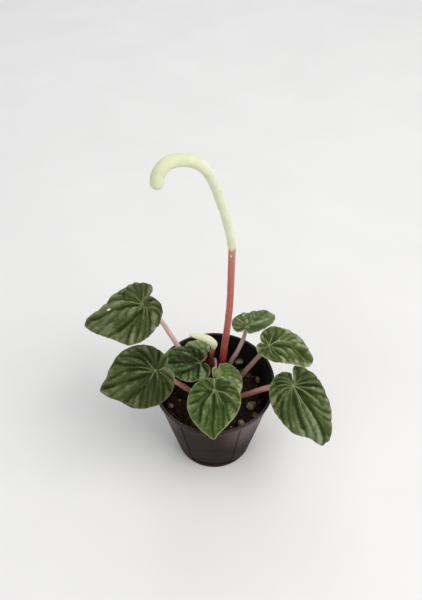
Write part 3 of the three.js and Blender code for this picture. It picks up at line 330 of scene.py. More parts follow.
                 (1, [(-1.6, 0.4), (-4.0, 0.8), (-6.5, 0.7)]),
                 (1, [(-0.8, 2.0), (-2.4, 3.8), (-4.6, 5.6), (-6.8, 6.1)]),
                 (1, [(-0.3, 1.8), (-1.3, 4.1), (-2.1, 6.7), (-2.8, 10.0), (-3.2, 11.6)]),
                 (1, [(0.1, 1.6), (0.1, 4.4), (0.5, 7.9), (1.3, 11.2), (2.6, 14.0)]),
                 (1, [(0.6, 1.3), (1.9, 3.9), (2.9, 6.9), (4.2, 9.9), (7.1, 13.2)]),
                 (1, [(1.4, 1.1), (3.5, 3.5), (5.5, 5.9), (7.5, 8.4), (11.7, 12.9)]),
                 (1, [(3.2, 1.0), (6.8, 2.7), (10.0, 4.0), (13.2, 5.5), (16.1, 7.5), (19.1, 10.9)]),
                 (3, [(5.6, 5.8), (9.0, 7.1), (12.3, 9.2), (15.3, 12.2)]),
                 (3, [(13.6, 2.2), (16.4, 4.5), (19.5, 6.4), (22.4, 9.2)]),
                 (3, [(17.9, 2.8), (20.5, 4.9), (23.4, 6.3), (26.1, 7.4)]),
                 (3, [(22.1, 2.8), (24.8, 4.3), (28.1, 5.0)]),
                 (3, [(6.2, 1.2), (11.4, -0.9), (17.1, -1.5), (23.6, -1.5), (27.4, -2.4)])],
        lines=[(1.3, [(0.0, 0.0), (2.1, -0.4), (5.0, -0.4), (7.9, -0.1), (11.1, 0.3), (14.6, 0.5), (18.2, 0.8), (22.1, 1.0), (26.2, 0.9)]),
               (0.7, [(1.3, -0.5), (4.1, -1.0), (7.4, -1.3), (10.0, -1.7), (13.4, -2.0)]),
               (1.0, [(0.5, 0.3), (2.8, 2.1), (5.2, 3.6), (7.9, 5.0), (10.3, 6.3), (12.7, 7.3), (15.6, 7.5), (18.2, 7.5)]),
               (0.7, [(0.5, -0.9), (2.9, -2.7), (5.6, -4.5)]),
               (0.7, [(0.6, -1.5), (-0.3, -3.8), (0.1, -6.7), (1.7, -9.3)]),
               (0.6, [(0.9, -1.8), (2.2, -4.1), (3.9, -7.0), (6.0, -9.0)]),
               (0.6, [(-0.4, -1.2), (-2.0, -3.7), (-2.9, -6.5), (-2.4, -9.2)]),
               (0.6, [(-0.9, -0.7), (-2.9, -2.3), (-4.6, -5.0), (-5.0, -7.5)]),
               (0.6, [(-1.4, -0.1), (-3.4, -0.8), (-5.4, -2.5)]),
               (0.8, [(-0.7, 1.1), (-2.4, 2.1), (-4.2, 2.7), (-5.9, 2.9)]),
               (0.7, [(-0.4, 1.4), (-0.7, 3.1), (-1.7, 6.1), (-2.1, 9.0)]),
               (0.6, [(0.1, 1.3), (0.8, 3.9), (1.6, 7.2), (2.4, 9.8)]),
               (0.6, [(1.1, 0.8), (2.8, 3.9), (4.6, 7.1), (6.7, 10.2)])],
        hollows=[(0.9, 1.5, [(4.3, 0.6), (8.5, 1.7), (13.2, 1.9)]),
                 (0.6, 1.0, [(14.8, 2.1), (20.1, 2.7), (25.5, 2.7)]),
                 (0.8, 1.0, [(5.0, -2.5), (9.5, -3.8), (14.5, -4.9), (19.2, -5.5)]),
                 (0.6, 0.6, [(1.3, 3.1), (3.5, 7.8), (5.4, 11.7)]),
                 (0.5, 0.6, [(-1.7, 4.3), (-2.1, 7.0)]),
                 (0.6, 0.6, [(-5.2, 1.1), (-3.1, 0.4)]),
                 (0.5, 0.6, [(-3.1, -4.1), (-4.2, -6.9)]),
                 (0.5, 0.6, [(4.7, -8.6), (7.1, -10.8), (9.9, -12.3)]),
                 (0.5, 0.6, [(1.6, -8.5), (3.1, -10.6)]),
                 (0.4, 0.7, [(6.2, 6.0), (8.9, 8.1)]),
                 (0.4, 0.6, [(22.0, 4.7), (25.7, 6.3)])]),
}

# ------------------------------------------------------------------ small tools
def lin(r, g, b):
    """8-bit display colour to a linear colour."""
    out = []
    for x in (r, g, b):
        x /= 255
        out.append(x / 12.92 if x <= 0.04045 else ((x + 0.055) / 1.055) ** 2.4)
    return (*out, 1.0)


def smooth(x, a, b):
    t = np.clip((x - a) / (b - a), 0, 1)
    return t * t * (3 - 2 * t)


def _cell(i, j, k, seed):
    h = (i.astype(np.uint32) * np.uint32(0x8DA6B343)) ^ (j.astype(np.uint32) * np.uint32(0xD8163841))
    h ^= (k.astype(np.uint32) * np.uint32(0xCB1AB31F)) ^ np.uint32((seed * 0x9E3779B1) & 0xFFFFFFFF)
    h ^= h >> np.uint32(15)
    h *= np.uint32(0x2C1B3C6D)
    h ^= h >> np.uint32(12)
    h *= np.uint32(0x297A2D39)
    h ^= h >> np.uint32(15)
    return h.astype(np.float64) / 4294967296.0


def value_noise(p, seed=0):
    """Smooth noise from -1 to 1 at the points p (n, 3)."""
    p = np.asarray(p, float)
    f = np.floor(p)
    i = f.astype(np.int64)
    t = p - f
    t = t * t * t * (t * (t * 6 - 15) + 10)
    out = 0
    for dx in (0, 1):
        for dy in (0, 1):
            for dz in (0, 1):
                w = ((t[:, 0] if dx else 1 - t[:, 0]) * (t[:, 1] if dy else 1 - t[:, 1])
                     * (t[:, 2] if dz else 1 - t[:, 2]))
                out = out + w * _cell(i[:, 0] + dx, i[:, 1] + dy, i[:, 2] + dz, seed)
    return out * 2 - 1


def fbm(p, seed=0, octaves=4, gain=0.5):
    out, amp, total, p = 0, 1.0, 0.0, np.asarray(p, float)
    for o in range(octaves):
        out = out + amp * value_noise(p, seed + 17 * o)
        total += amp
        amp *= gain
        p = p * 2.03 + 11.7
    return out / total


def worley(p, seed=0, jitter=0.9):
    """Distances to the nearest and second nearest cell point, and a number 0..1 of the nearest cell."""
    p = np.asarray(p, float)
    base = np.floor(p).astype(np.int64)
    f1 = np.full(len(p), 9.0)
    f2 = np.full(len(p), 9.0)
    ident = np.zeros(len(p))
    for dx in (-1, 0, 1):
        for dy in (-1, 0, 1):
            for dz in (-1, 0, 1):
                i, j, k = base[:, 0] + dx, base[:, 1] + dy, base[:, 2] + dz
                q = np.stack([i + 0.5 + jitter * (_cell(i, j, k, seed) - 0.5),
                              j + 0.5 + jitter * (_cell(i, j, k, seed + 101) - 0.5),
                              k + 0.5 + jitter * (_cell(i, j, k, seed + 202) - 0.5)], 1)
                d = np.linalg.norm(q - p, axis=1)
                near = d < f1
                f2 = np.where(near, f1, np.minimum(f2, d))
                ident = np.where(near, _cell(i, j, k, seed + 303), ident)
                f1 = np.where(near, d, f1)
    return f1, f2, ident


def spline(points, n, dense=60):
    """Centripetal Catmull-Rom through the points: n places evenly spaced by length, and the length."""
    P = np.asarray(points, float)
    P = np.vstack([2 * P[0] - P[1], P, 2 * P[-1] - P[-2]])
    out = []
    for i in range(1, len(P) - 2):
        p0, p1, p2, p3 = P[i - 1], P[i], P[i + 1], P[i + 2]
        d0, d1, d2 = (max(float(((b - a) ** 2).sum()) ** 0.25, 1e-4) for a, b in ((p0, p1), (p1, p2), (p2, p3)))
        t1 = ((p1 - p0) / d0 - (p2 - p0) / (d0 + d1) + (p2 - p1) / d1) * d1
        t2 = ((p2 - p1) / d1 - (p3 - p1) / (d1 + d2) + (p3 - p2) / d2) * d1
        t = np.linspace(0, 1, dense, endpoint=False)[:, None]
        out.append(p1 + t1 * t + (-3 * p1 + 3 * p2 - 2 * t1 - t2) * t**2 + (2 * p1 - 2 * p2 + t1 + t2) * t**3)
    out.append(P[-2][None])
    Q = np.vstack(out)
    s = np.r_[0, np.cumsum(np.linalg.norm(np.diff(Q, axis=0), axis=1))]
    g = np.linspace(0, s[-1], n)
    return np.stack([np.interp(g, s, Q[:, k]) for k in range(Q.shape[1])], 1), float(s[-1])


def bezier(p0, p1, p2, p3, n):
    t = np.linspace(0, 1, n)[:, None]
    p0, p1, p2, p3 = (np.asarray(p, float) for p in (p0, p1, p2, p3))
    return (1 - t) ** 3 * p0 + 3 * (1 - t) ** 2 * t * p1 + 3 * (1 - t) * t * t * p2 + t**3 * p3


def to_lines(P, A, B, chunk=4096):
    """Least distance from each 2-D point to the segments A-B."""
    P, A, B = (np.asarray(x, np.float32) for x in (P, A, B))
    D = B - A
    L = np.maximum((D * D).sum(1), 1e-12)
    out = np.empty(len(P), np.float32)
    for i in range(0, len(P), chunk):
        q = P[i:i + chunk, None, :] - A[None]
        t = np.clip((q * D).sum(2) / L, 0, 1)
        r = q - t[:, :, None] * D
        out[i:i + chunk] = np.sqrt((r * r).sum(2).min(1))
    return out.astype(float)


def within(P, poly):
    """Even-odd test of 2-D points against a closed polygon."""
    x, y = P[:, 0], P[:, 1]
    inside = np.zeros(len(P), bool)
    Q = np.roll(poly, -1, 0)
    for (ax, ay), (bx, by) in zip(poly, Q):
        if ay == by:
            continue
        cross = (ay > y) != (by > y)
        inside ^= cross & (x < (bx - ax) * (y - ay) / (by - ay) + ax)
    return inside


def make_mesh(name, verts, faces, attrs=None, uvs=None, sharp=None, outward=True):
    """A mesh from vertices in mm and a list of face arrays (m, 3) or (m, 4); uvs is one (m, k, 2) array for each face array."""
    verts = np.asarray(verts, float)
    faces = [np.asarray(f, np.int32) for f in faces if len(f)]
    if outward:
        vol = 0.0
        for f in faces:
            for k in range(1, f.shape[1] - 1):
                a, b, c = verts[f[:, 0]], verts[f[:, k]], verts[f[:, k + 1]]
                vol += float((a * np.cross(b, c)).sum())
        if vol < 0:
            faces = [f[:, ::-1] for f in faces]
            uvs = [u[:, ::-1] for u in uvs] if uvs is not None else None
    loops = np.concatenate([f.ravel() for f in faces]).astype(np.int32)
    sizes = np.concatenate([np.full(len(f), f.shape[1], np.int32) for f in faces])
    starts = np.r_[0, np.cumsum(sizes)[:-1]].astype(np.int32)
    me = bpy.data.meshes.new(name)
    me.vertices.add(len(verts))
    me.vertices.foreach_set("co", (verts * MM).astype(np.float32).ravel())
    me.loops.add(len(loops))
    me.loops.foreach_set("vertex_index", loops)
    me.polygons.add(len(sizes))
    me.polygons.foreach_set("loop_start", starts)
    me.polygons.foreach_set("use_smooth", np.ones(len(sizes), bool))
    if uvs is not None:
        layer = me.uv_layers.new(name="OFBake")
        layer.uv.foreach_set("vector", np.concatenate([np.asarray(u, np.float32).reshape(-1, 2) for u in uvs]).ravel())
    for key, value in (attrs or {}).items():
        me.attributes.new(key, "FLOAT", "POINT").data.foreach_set("value", np.asarray(value, np.float32))
    me.update(calc_edges=True)
    if sharp is not None:
        me.set_sharp_from_angle(angle=sharp * DEG)
    return me


PIECES = []


def piece(name, me, material, nodes):
    ob = bpy.data.objects.new(name, me)
    bpy.context.scene.collection.objects.link(ob)
    me.materials.clear()
    me.materials.append(material)
    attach(ob, "root")
    if nodes:
        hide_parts(*nodes)
    PIECES.append(ob)
    return ob


def zipper(a0, na, b0, nb):
    """Triangles between a row of na points numbered from a0 and a row of nb from b0, both evenly spaced over 0..1."""
    ma = (np.arange(na - 1) + 0.5) / (na - 1) if na > 1 else np.zeros(0)
    mb = (np.arange(nb - 1) + 0.5) / (nb - 1) if nb > 1 else np.zeros(0)
    ja = np.searchsorted(mb, ma)
    ib = np.searchsorted(ma, mb, side="right")
    i, j = np.arange(len(ma)), np.arange(len(mb))
    return np.vstack([
        np.stack([a0 + i, b0 + ja, a0 + i + 1], 1) if len(ma) else np.zeros((0, 3), int),
        np.stack([a0 + ib, b0 + j, b0 + j + 1], 1) if len(mb) else np.zeros((0, 3), int),
    ])


def ring_faces(rows, n, first=0):
    """Quads of a grid of `rows` closed rings of n points, and their texture coordinates."""
    r, k = np.meshgrid(np.arange(rows - 1), np.arange(n), indexing="ij")
    r, k = r.ravel(), k.ravel()
    k2 = (k + 1) % n
    f = np.stack([first + r * n + k, first + r * n + k2, first + (r + 1) * n + k2, first + (r + 1) * n + k], 1)
    uv = np.stack([np.stack([k / n, r / (rows - 1)], 1), np.stack([(k + 1) / n, r / (rows - 1)], 1),
                   np.stack([(k + 1) / n, (r + 1) / (rows - 1)], 1), np.stack([k / n, (r + 1) / (rows - 1)], 1)], 1)
    return f, uv


# ------------------------------------------------------------------ node materials
class Mat:
    """A short way to write a node material."""

    def __init__(self, name):
        self.m = bpy.data.materials.new(name)
        self.m.use_nodes = True
        self.t = self.m.node_tree
        self.t.nodes.clear()
        self.out = self.t.nodes.new("ShaderNodeOutputMaterial")
        self.b = self.t.nodes.new("ShaderNodeBsdfPrincipled")
        self.t.links.new(self.b.outputs[0], self.out.inputs["Surface"])
        self.obj = self.t.nodes.new("ShaderNodeTexCoord").outputs["Object"]

    def put(self, socket, value):
        if isinstance(value, bpy.types.NodeSocket):
            self.t.links.new(value, socket)
        elif value is not None:
            socket.default_value = value

    def set(self, **values):
        for k, v in values.items():
            self.put(self.b.inputs[k.replace("_", " ")], v)
        return self

    def attr(self, name):
        n = self.t.nodes.new("ShaderNodeAttribute")
        n.attribute_name = name
        return n.outputs["Fac"]

    def coords(self, scale=(1, 1, 1), turn=(0, 0, 0)):
        n = self.t.nodes.new("ShaderNodeMapping")
        self.t.links.new(self.obj, n.inputs["Vector"])
        n.inputs["Scale"].default_value = scale
        n.inputs["Rotation"].default_value = turn
        return n.outputs[0]

    def noise(self, size, detail=3, rough=0.55, vector=None, distort=0.0):
        """Noise whose features are about `size` mm."""
        n = self.t.nodes.new("ShaderNodeTexNoise")
        self.put(n.inputs["Vector"], vector or self.obj)
        n.inputs["Scale"].default_value = 1000 / size
        n.inputs["Detail"].default_value = detail
        n.inputs["Roughness"].default_value = rough
        n.inputs["Distortion"].default_value = distort
        return n.outputs["Fac"]

    def cells(self, size, feature="F1", vector=None, randomness=1.0, output="Distance"):
        n = self.t.nodes.new("ShaderNodeTexVoronoi")
        n.feature = feature
        self.put(n.inputs["Vector"], vector or self.obj)
        n.inputs["Scale"].default_value = 1000 / size
        n.inputs["Randomness"].default_value = randomness
        return n.outputs[output]

    def ramp(self, fac, stops, interpolation="LINEAR"):
        n = self.t.nodes.new("ShaderNodeValToRGB")
        self.put(n.inputs[0], fac)
        e = n.color_ramp.elements
        n.color_ramp.interpolation = interpolation
        while len(e) > 1:
            e.remove(e[-1])
        full = lambda c: c if hasattr(c, "__len__") else (c, c, c, 1)
        e[0].position, e[0].color = stops[0][0], full(stops[0][1])
        for pos, col in stops[1:]:
            e.new(pos).color = full(col)
        return n.outputs["Color"]

    def math(self, op, a, b=None, c=None, clamp=False):
        n = self.t.nodes.new("ShaderNodeMath")
        n.operation = op
        n.use_clamp = clamp
        for s, v in zip(n.inputs, (a, b, c)):
            self.put(s, v)
        return n.outputs[0]

    def map(self, value, a, b, c=0.0, d=1.0, kind="SMOOTHSTEP"):
        n = self.t.nodes.new("ShaderNodeMapRange")
        n.interpolation_type = kind
        self.put(n.inputs["Value"], value)
        for key, v in zip(("From Min", "From Max", "To Min", "To Max"), (a, b, c, d)):
            n.inputs[key].default_value = v
        return n.outputs[0]

    def mix(self, fac, a, b, blend="MIX"):
        n = self.t.nodes.new("ShaderNodeMix")
        n.data_type = "RGBA"
        n.blend_type = blend
        self.put(n.inputs[0], fac)
        self.put(n.inputs[6], a)
        self.put(n.inputs[7], b)
        return n.outputs[2]

    def bump(self, height, strength=0.3, distance=0.05, normal=None):
        """distance in mm."""
        n = self.t.nodes.new("ShaderNodeBump")
        n.inputs["Strength"].default_value = strength
        n.inputs["Distance"].default_value = distance * MM
        self.put(n.inputs["Height"], height)
        if normal is not None:
            self.put(n.inputs["Normal"], normal)
        return n.outputs[0]


# ------------------------------------------------------------------ leaves
# How each blade looks: display colours of the furrows, the blade and the crests (darker furrows and paler crests are
# partly the blade's own colour, partly painted shade and painted highlight), its margin, the height of the puckers, and
# how closely the two sides of the basal notch meet (degrees).
LEAF_LOOK = {
    "leaf_a": dict(low=(34, 43, 10), mid=(75, 84, 48), high=(154, 163, 130), rim=(128, 140, 92), side=14, cell=4.5, stripe=0.46, puff=2.2, notch=1.5, pairs=7, seed=11, scallop=0.02, star=5.0, spine=7.0, line=0.40, gloss=0.0),
    "leaf_b": dict(low=(28, 36, 8), mid=(58, 67, 34), high=(116, 125, 94), rim=(112, 124, 82), side=17, cell=5.0, stripe=0.52, puff=2.3, notch=1.5, pairs=7, seed=12, scallop=0.02, star=5.0, spine=6.0, line=0.40, gloss=0.0),
    "leaf_c": dict(low=(8, 21, 0), mid=(46, 69, 27), high=(106, 128, 84), rim=(146, 156, 112), side=24, cell=7.0, stripe=0.72, puff=2.3, notch=None, pairs=6, seed=13, hub=0.6, scallop=0.03, star=2.2, spine=2.5, line=0.50, gloss=0.4),
    "leaf_d": dict(low=(24, 42, 4), mid=(58, 80, 32), high=(108, 128, 82), rim=(158, 166, 120), side=22, cell=7.0, stripe=0.66, puff=2.2, notch=2.5, pairs=6, seed=14, hub=0.85, scallop=0.02, star=2.6, spine=2.2, line=0.75, gloss=0.3),
    "leaf_e": dict(low=(40, 56, 8), mid=(82, 98, 50), high=(150, 167, 120), rim=(166, 178, 130), side=24, cell=7.0, stripe=0.70, puff=1.9, notch=None, pairs=6, seed=15, scallop=0.02, star=3.4, spine=4.0, line=0.60, gloss=0.15),
    "leaf_f": dict(low=(24, 35, 5), mid=(88, 101, 62), high=(136, 148, 114), rim=(146, 158, 112), side=24, cell=6.0, stripe=0.62, puff=1.7, notch=6, pairs=6, seed=16, scallop=0.02, wave=0.2, star=2.2, spine=8.0, line=0.45, gloss=0.1),
    "leaf_g": dict(low=(34, 48, 10), mid=(76, 90, 46), high=(140, 153, 114), rim=(148, 162, 112), side=24, cell=7.0, stripe=0.64, puff=1.9, notch=2.5, pairs=6, seed=17, scallop=0.02, wave=0.2, star=6.0, spine=13.0, line=0.50, gloss=0.1),
    "leaf_h": dict(low=(28, 39, 6), mid=(70, 83, 44), high=(124, 136, 104), rim=(126, 140, 96), side=22, cell=6.0, stripe=0.60, puff=2.3, notch=3, pairs=7, seed=18, hub=1.05, scallop=0.05, star=6.5, spine=24.0, line=0.40, gloss=0.0),
    # leaf_i: its paler young green is set paler still as painted light, making up for the shade of the leaves over it
    "leaf_i": dict(low=(60, 78, 34), mid=(118, 136, 88), high=(164, 180, 142), rim=(160, 176, 126), side=24, cell=5.0, stripe=0.60, puff=1.2, notch=6, pairs=3, seed=19, star=1.5, spine=2.0, line=0.50, gloss=0.1),
}
# small raised white flecks on the blades: place, half length, half width (mm), strength
FLECKS = {
    "leaf_a": [(16.6, -3.1, 1.0, 0.45, 1.0), (6.9, 17.7, 0.5, 0.4, 0.6)],
    "leaf_b": [(5.3, -10.8, 0.5, 0.4, 0.5)],
}
BLADE = 0.55          # thickness of the blade between its veins
POINT_STEP = 0.27     # spacing of the mesh points, mm


def leaf_frame(az, dip, roll):
    U = np.array([math.cos(az * DEG) * math.cos(dip * DEG), math.sin(az * DEG) * math.cos(dip * DEG), -math.sin(dip * DEG)])
    V0 = np.array([-math.sin(az * DEG), math.cos(az * DEG), 0])
    N0 = np.cross(U, V0)
    V = math.cos(roll * DEG) * V0 + math.sin(roll * DEG) * N0
    return U, V, np.cross(U, V)


def leaf_outline(edge, notch):
    """The margin as angle and radius about the stalk, from one side of the basal notch round the tip to the other."""
    O, _ = spline([(u, v, 0) for u, v in edge], 1600)
    phi = np.unwrap(np.arctan2(O[:, 1], O[:, 0]))
    phi -= 2 * math.pi * round((phi[0] - math.pi) / (2 * math.pi))
    r = np.hypot(O[:, 0], O[:, 1])
    i0 = int(np.argmax(phi[:500]))
    i1 = 1100 + int(np.argmin(phi[1100:]))
    phi, r = phi[i0:i1 + 1], r[i0:i1 + 1]
    phi = np.minimum.accumulate(phi)
    least = 1.5 * DEG
    keep = phi > phi[0] - 2 * math.pi + least
    phi, r = phi[keep], r[keep]
    if notch is not None:                       # draw the two lobes together
        shift = (2 * math.pi - (phi[0] - phi[-1]) - notch * DEG) / 2
        a, b = phi[0], phi[-1]
        phi = phi + shift * np.exp(-((a - phi) / (30 * DEG)) ** 2) - shift * np.exp(-((phi - b) / (30 * DEG)) ** 2)
    return phi, r


def smooth_line(pts, n=40):
    return spline([(u, v, 0) for u, v in pts], n)[0][:, :2]


def leaf_veins(name, phi, r, look, rng):
    """Polylines of the furrows with their order (0 midrib, 1 from the stalk, 2 off the midrib, 3 forks off those),
    the raised pale veins (strength, polyline), the broad hollows, and the length to the tip."""
    pairs = look["pairs"]
    O = np.stack([r * np.cos(phi), r * np.sin(phi)], 1)
    run = np.r_[0, np.cumsum(np.linalg.norm(np.diff(O, axis=0), axis=1))]

    def margin(a):
        return float(np.interp(-a, -phi, r))
    near = np.abs(phi) < 28 * DEG
    tip = float(phi[near][np.argmax(r[near])])
    length = margin(tip)
    s_tip = float(np.interp(-tip, -phi, run))

    def at(a, share=1.0):
        return np.array([math.cos(a), math.sin(a)]) * margin(a) * share

    def on_margin(side, f, share=0.985):
        """Point on the margin a share f of the way from the tip round to the notch."""
        s = s_tip * (1 - f) if side > 0 else s_tip + (run[-1] - s_tip) * f
        return np.array([np.interp(s, run, O[:, 0]), np.interp(s, run, O[:, 1])]) * share
    if name in VEINS:
        own = VEINS[name]
        return ([(smooth_line(q), o) for o, q in own["furrows"]], [(w, smooth_line(q)) for w, q in own["lines"]],
                [(w, h, smooth_line(q)) for w, h, q in own["hollows"]], length)
    bend = rng.normal(0, 0.02)
    mid = bezier((0, 0), at(tip + bend, 0.35), at(tip - bend, 0.7), at(tip, 0.99), 60)
    veins = [(mid, 0)]
    ends = {1: [], -1: []}
    for side, limit in ((1, phi[0]), (-1, -phi[-1])):
        first, last = 23 * DEG, limit - 12 * DEG
        for i in range(pairs):
            f = i / max(pairs - 1, 1)
            start = first + (last - first) * f ** 0.92 + rng.normal(0, 2.0) * DEG
            share = 0.25 + 0.64 * f ** 0.95 + rng.normal(0, 0.008)
            e = on_margin(side, share)
            n = np.linalg.norm(e)
            d0 = np.array([math.cos(side * start), math.sin(side * start)])
            e_ang = math.atan2(e[1], e[0])
            aim = e_ang * (0.42 + 0.10 * f)
            d1 = np.array([math.cos(aim), math.sin(aim)])
            line = bezier((0, 0), d0 * n * 0.38, e - d1 * n * 0.32, e, 48)
            veins.append((line, 1))
            ends[side].append((share, line))
    # off the midrib, towards the margin between the tip and the first pair
    for side in (1, -1):
        shares = {8: (0.26, 0.38, 0.50, 0.62, 0.74, 0.86), 7: (0.28, 0.42, 0.56, 0.70, 0.84), 6: (0.32, 0.48, 0.64, 0.80), 5: (0.36, 0.56, 0.76)}.get(pairs, (0.45, 0.70))
        top = ends[side][0][0]
        for j, share in enumerate(shares):
            k = (j + 0.75) / (len(shares) + 0.35)
            share += rng.normal(0, 0.012) + (0.025 if side > 0 else -0.025)
            p = mid[min(59, int(share * 60))]
            e = on_margin(side, top * (1 - k) + rng.normal(0, 0.004))
            n = np.linalg.norm(e - p)
            d0 = np.array([math.cos(side * 46 * DEG + tip), math.sin(side * 46 * DEG + tip)])
            d1 = np.array([math.cos(side * 20 * DEG), math.sin(side * 20 * DEG)])
            veins.append((bezier(p, p + d0 * n * 0.38, e - d1 * n * 0.3, e, 30), 2))
    # a fork in each panel between neighbouring veins
    for side in (1, -1):
        for i in range(len(ends[side]) - 1):
            sh, line = ends[side][i]
            nxt, other = ends[side][i + 1]
            host, toward = (line, sh + (nxt - sh) * 0.52) if (i + (side > 0)) % 3 else (other, sh + (nxt - sh) * 0.48)
            p = host[int(np.clip(0.40 + rng.normal(0, 0.05), 0.25, 0.6) * 47)]
            e = on_margin(side, toward)
            d = e - p
            n = np.linalg.norm(d)
            if n < 1.2:
                continue
            t = host[min(47, int(0.40 * 47) + 3)] - p
            d0 = t / max(np.linalg.norm(t), 1e-6)
            sgn = side if host is line else -side
            d0 = np.array([d0[0] * math.cos(sgn * 0.5) - d0[1] * math.sin(sgn * 0.5), d0[0] * math.sin(sgn * 0.5) + d0[1] * math.cos(sgn * 0.5)])
            d1 = (other[-1] - other[-8]) + (line[-1] - line[-8])
            d1 = d1 / max(np.linalg.norm(d1), 1e-6)
            veins.append((bezier(p, p + d0 * n * 0.34, e - d1 * n * 0.36, e, 24), 3))
    lines = [(0.9, mid[np.hypot(*mid.T) < look["spine"]])]
    lines += [(0.7, q[np.hypot(*q.T) < look["star"] * (0.8 + 0.4 * rng.random())]) for q, o in veins if o == 1]
    lines = [(w, q) for w, q in lines if len(q) > 2]
    return veins, lines, [], length


def pucker(phi, r, veins, look, seed):
    """The blade pushed up between its veins like a quilt, solved on a grid. Returns a sampler of 0..1."""
    g = 0.25
    O = np.stack([r * np.cos(phi), r * np.sin(phi)], 1)[::8]
    poly = np.vstack([[0, 0], O])
    lo, hi = poly.min(0) - 1.2, poly.max(0) + 1.2
    nu, nv = (np.ceil((hi - lo) / g)).astype(int) + 1
    uu, vv = np.meshgrid(lo[0] + g * np.arange(nu), lo[1] + g * np.arange(nv), indexing="ij")
    P = np.stack([uu.ravel(), vv.ravel()], 1)
    ins = within(P, poly)
    d = to_lines(P, poly, np.roll(poly, -1, 0))
    live = (ins | (d < 0.65)).reshape(nu, nv).astype(float)
    pin = np.full((nu, nv), 0.02)
    scale = max(r.max(), 1)
    for line, order in veins:
        q, _ = spline(np.c_[line, np.zeros(len(line))], 400, dense=10)
        s = np.linspace(0, 1, len(q))
        rad = np.hypot(q[:, 0], q[:, 1]) / scale
        power = {0: 44, 1: 38, 2: look["side"], 3: 0.75 * look["side"]}[order] * (1 - 0.45 * rad) * (1 if order < 2 else smooth(s, -0.3, 0.15))
        x, y = (q[:, 0] - lo[0]) / g, (q[:, 1] - lo[1]) / g
        i, j = np.floor(x).astype(int), np.floor(y).astype(int)
        fx, fy = x - i, y - j
        for a, b, w in ((0, 0, (1 - fx) * (1 - fy)), (1, 0, fx * (1 - fy)), (0, 1, (1 - fx) * fy), (1, 1, fx * fy)):
            np.maximum.at(pin, (np.clip(i + a, 0, nu - 1), np.clip(j + b, 0, nv - 1)), power * (0.25 + 0.75 * w))
    # fine cross veins: the edges of small irregular cells
    Z = np.zeros(len(P))
    warp = np.c_[fbm(np.c_[P / 3.1, Z], seed + 5, 2), fbm(np.c_[P / 3.1, Z + 7], seed + 6, 2)]
    bend = 1.0 + 0.20 * fbm(np.c_[P / 5.0, Z], seed + 33, 2)
    f1, f2, _ = worley(np.c_[P / 1.75 * bend[:, None] + 0.5 * warp, Z + 0.5], seed + 9)
    pin += (look["cell"] * (1 - smooth(f2 - f1, 0.0, 0.20))).reshape(nu, nv)
    pin += (0.20 * (1 - smooth(d, 0.1, 0.9))).reshape(nu, nv)      # the margin holds the blade a little flatter
    grow = (1.12 + 0.55 * fbm(np.c_[P / 3.2, Z], seed + 21, 2)).reshape(nu, nv)
    h = np.zeros((nu, nv))
    pad = np.pad(live, 1)
    count = pad[2:, 1:-1] + pad[:-2, 1:-1] + pad[1:-1, 2:] + pad[1:-1, :-2]
    den = count + pin * g * g
    for _ in range(420):
        H = np.pad(h * live, 1)
        h = (H[2:, 1:-1] + H[:-2, 1:-1] + H[1:-1, 2:] + H[1:-1, :-2] + g * g * grow) / np.maximum(den, 1e-6)
    h = 1.12 * (1 - np.exp(-h * 1.15))
    h = h * live
    C = np.pad(live, 1)
    ring = np.maximum(C[2:, 1:-1] + C[:-2, 1:-1] + C[1:-1, 2:] + C[1:-1, :-2] + 4 * live, 1e-6)
    for share in (0.7, 0.6):
        H = np.pad(h, 1)
        blur = (H[2:, 1:-1] + H[:-2, 1:-1] + H[1:-1, 2:] + H[1:-1, :-2] + 4 * h) / ring
        h = ((1 - share) * h + share * blur) * live

    def sample(q):
        x = np.clip((q[:, 0] - lo[0]) / g, 0, nu - 1.001)
        y = np.clip((q[:, 1] - lo[1]) / g, 0, nv - 1.001)
        i, j = np.floor(x).astype(int), np.floor(y).astype(int)
        fx, fy = x - i, y - j
        w = [(1 - fx) * (1 - fy), fx * (1 - fy), (1 - fx) * fy, fx * fy]
        c = [(i, j), (i + 1, j), (i, j + 1), (i + 1, j + 1)]
        num = sum(a * h[k] * live[k] for a, k in zip(w, c))
        return num / np.maximum(sum(a * live[k] for a, k in zip(w, c)), 1e-6)
    return sample


def leaf_surface(name, spec, look):
    """Margin, veins, raised pale lines, broad hollows and length of one blade."""
    rng = np.random.default_rng(look["seed"])
    phi, r = leaf_outline(spec["edge"], look["notch"])
    # small random scallops along the margin
    wob = fbm(np.c_[np.cos(phi) * 3.2, np.sin(phi) * 3.2, np.full(len(phi), look["seed"] * 1.7)], look["seed"], 3)
    r = r * (1 + 0.011 * wob)
    veins, lines, hollows, length = leaf_veins(name, phi, r, look, rng)
    return phi, r, veins, lines, hollows, length


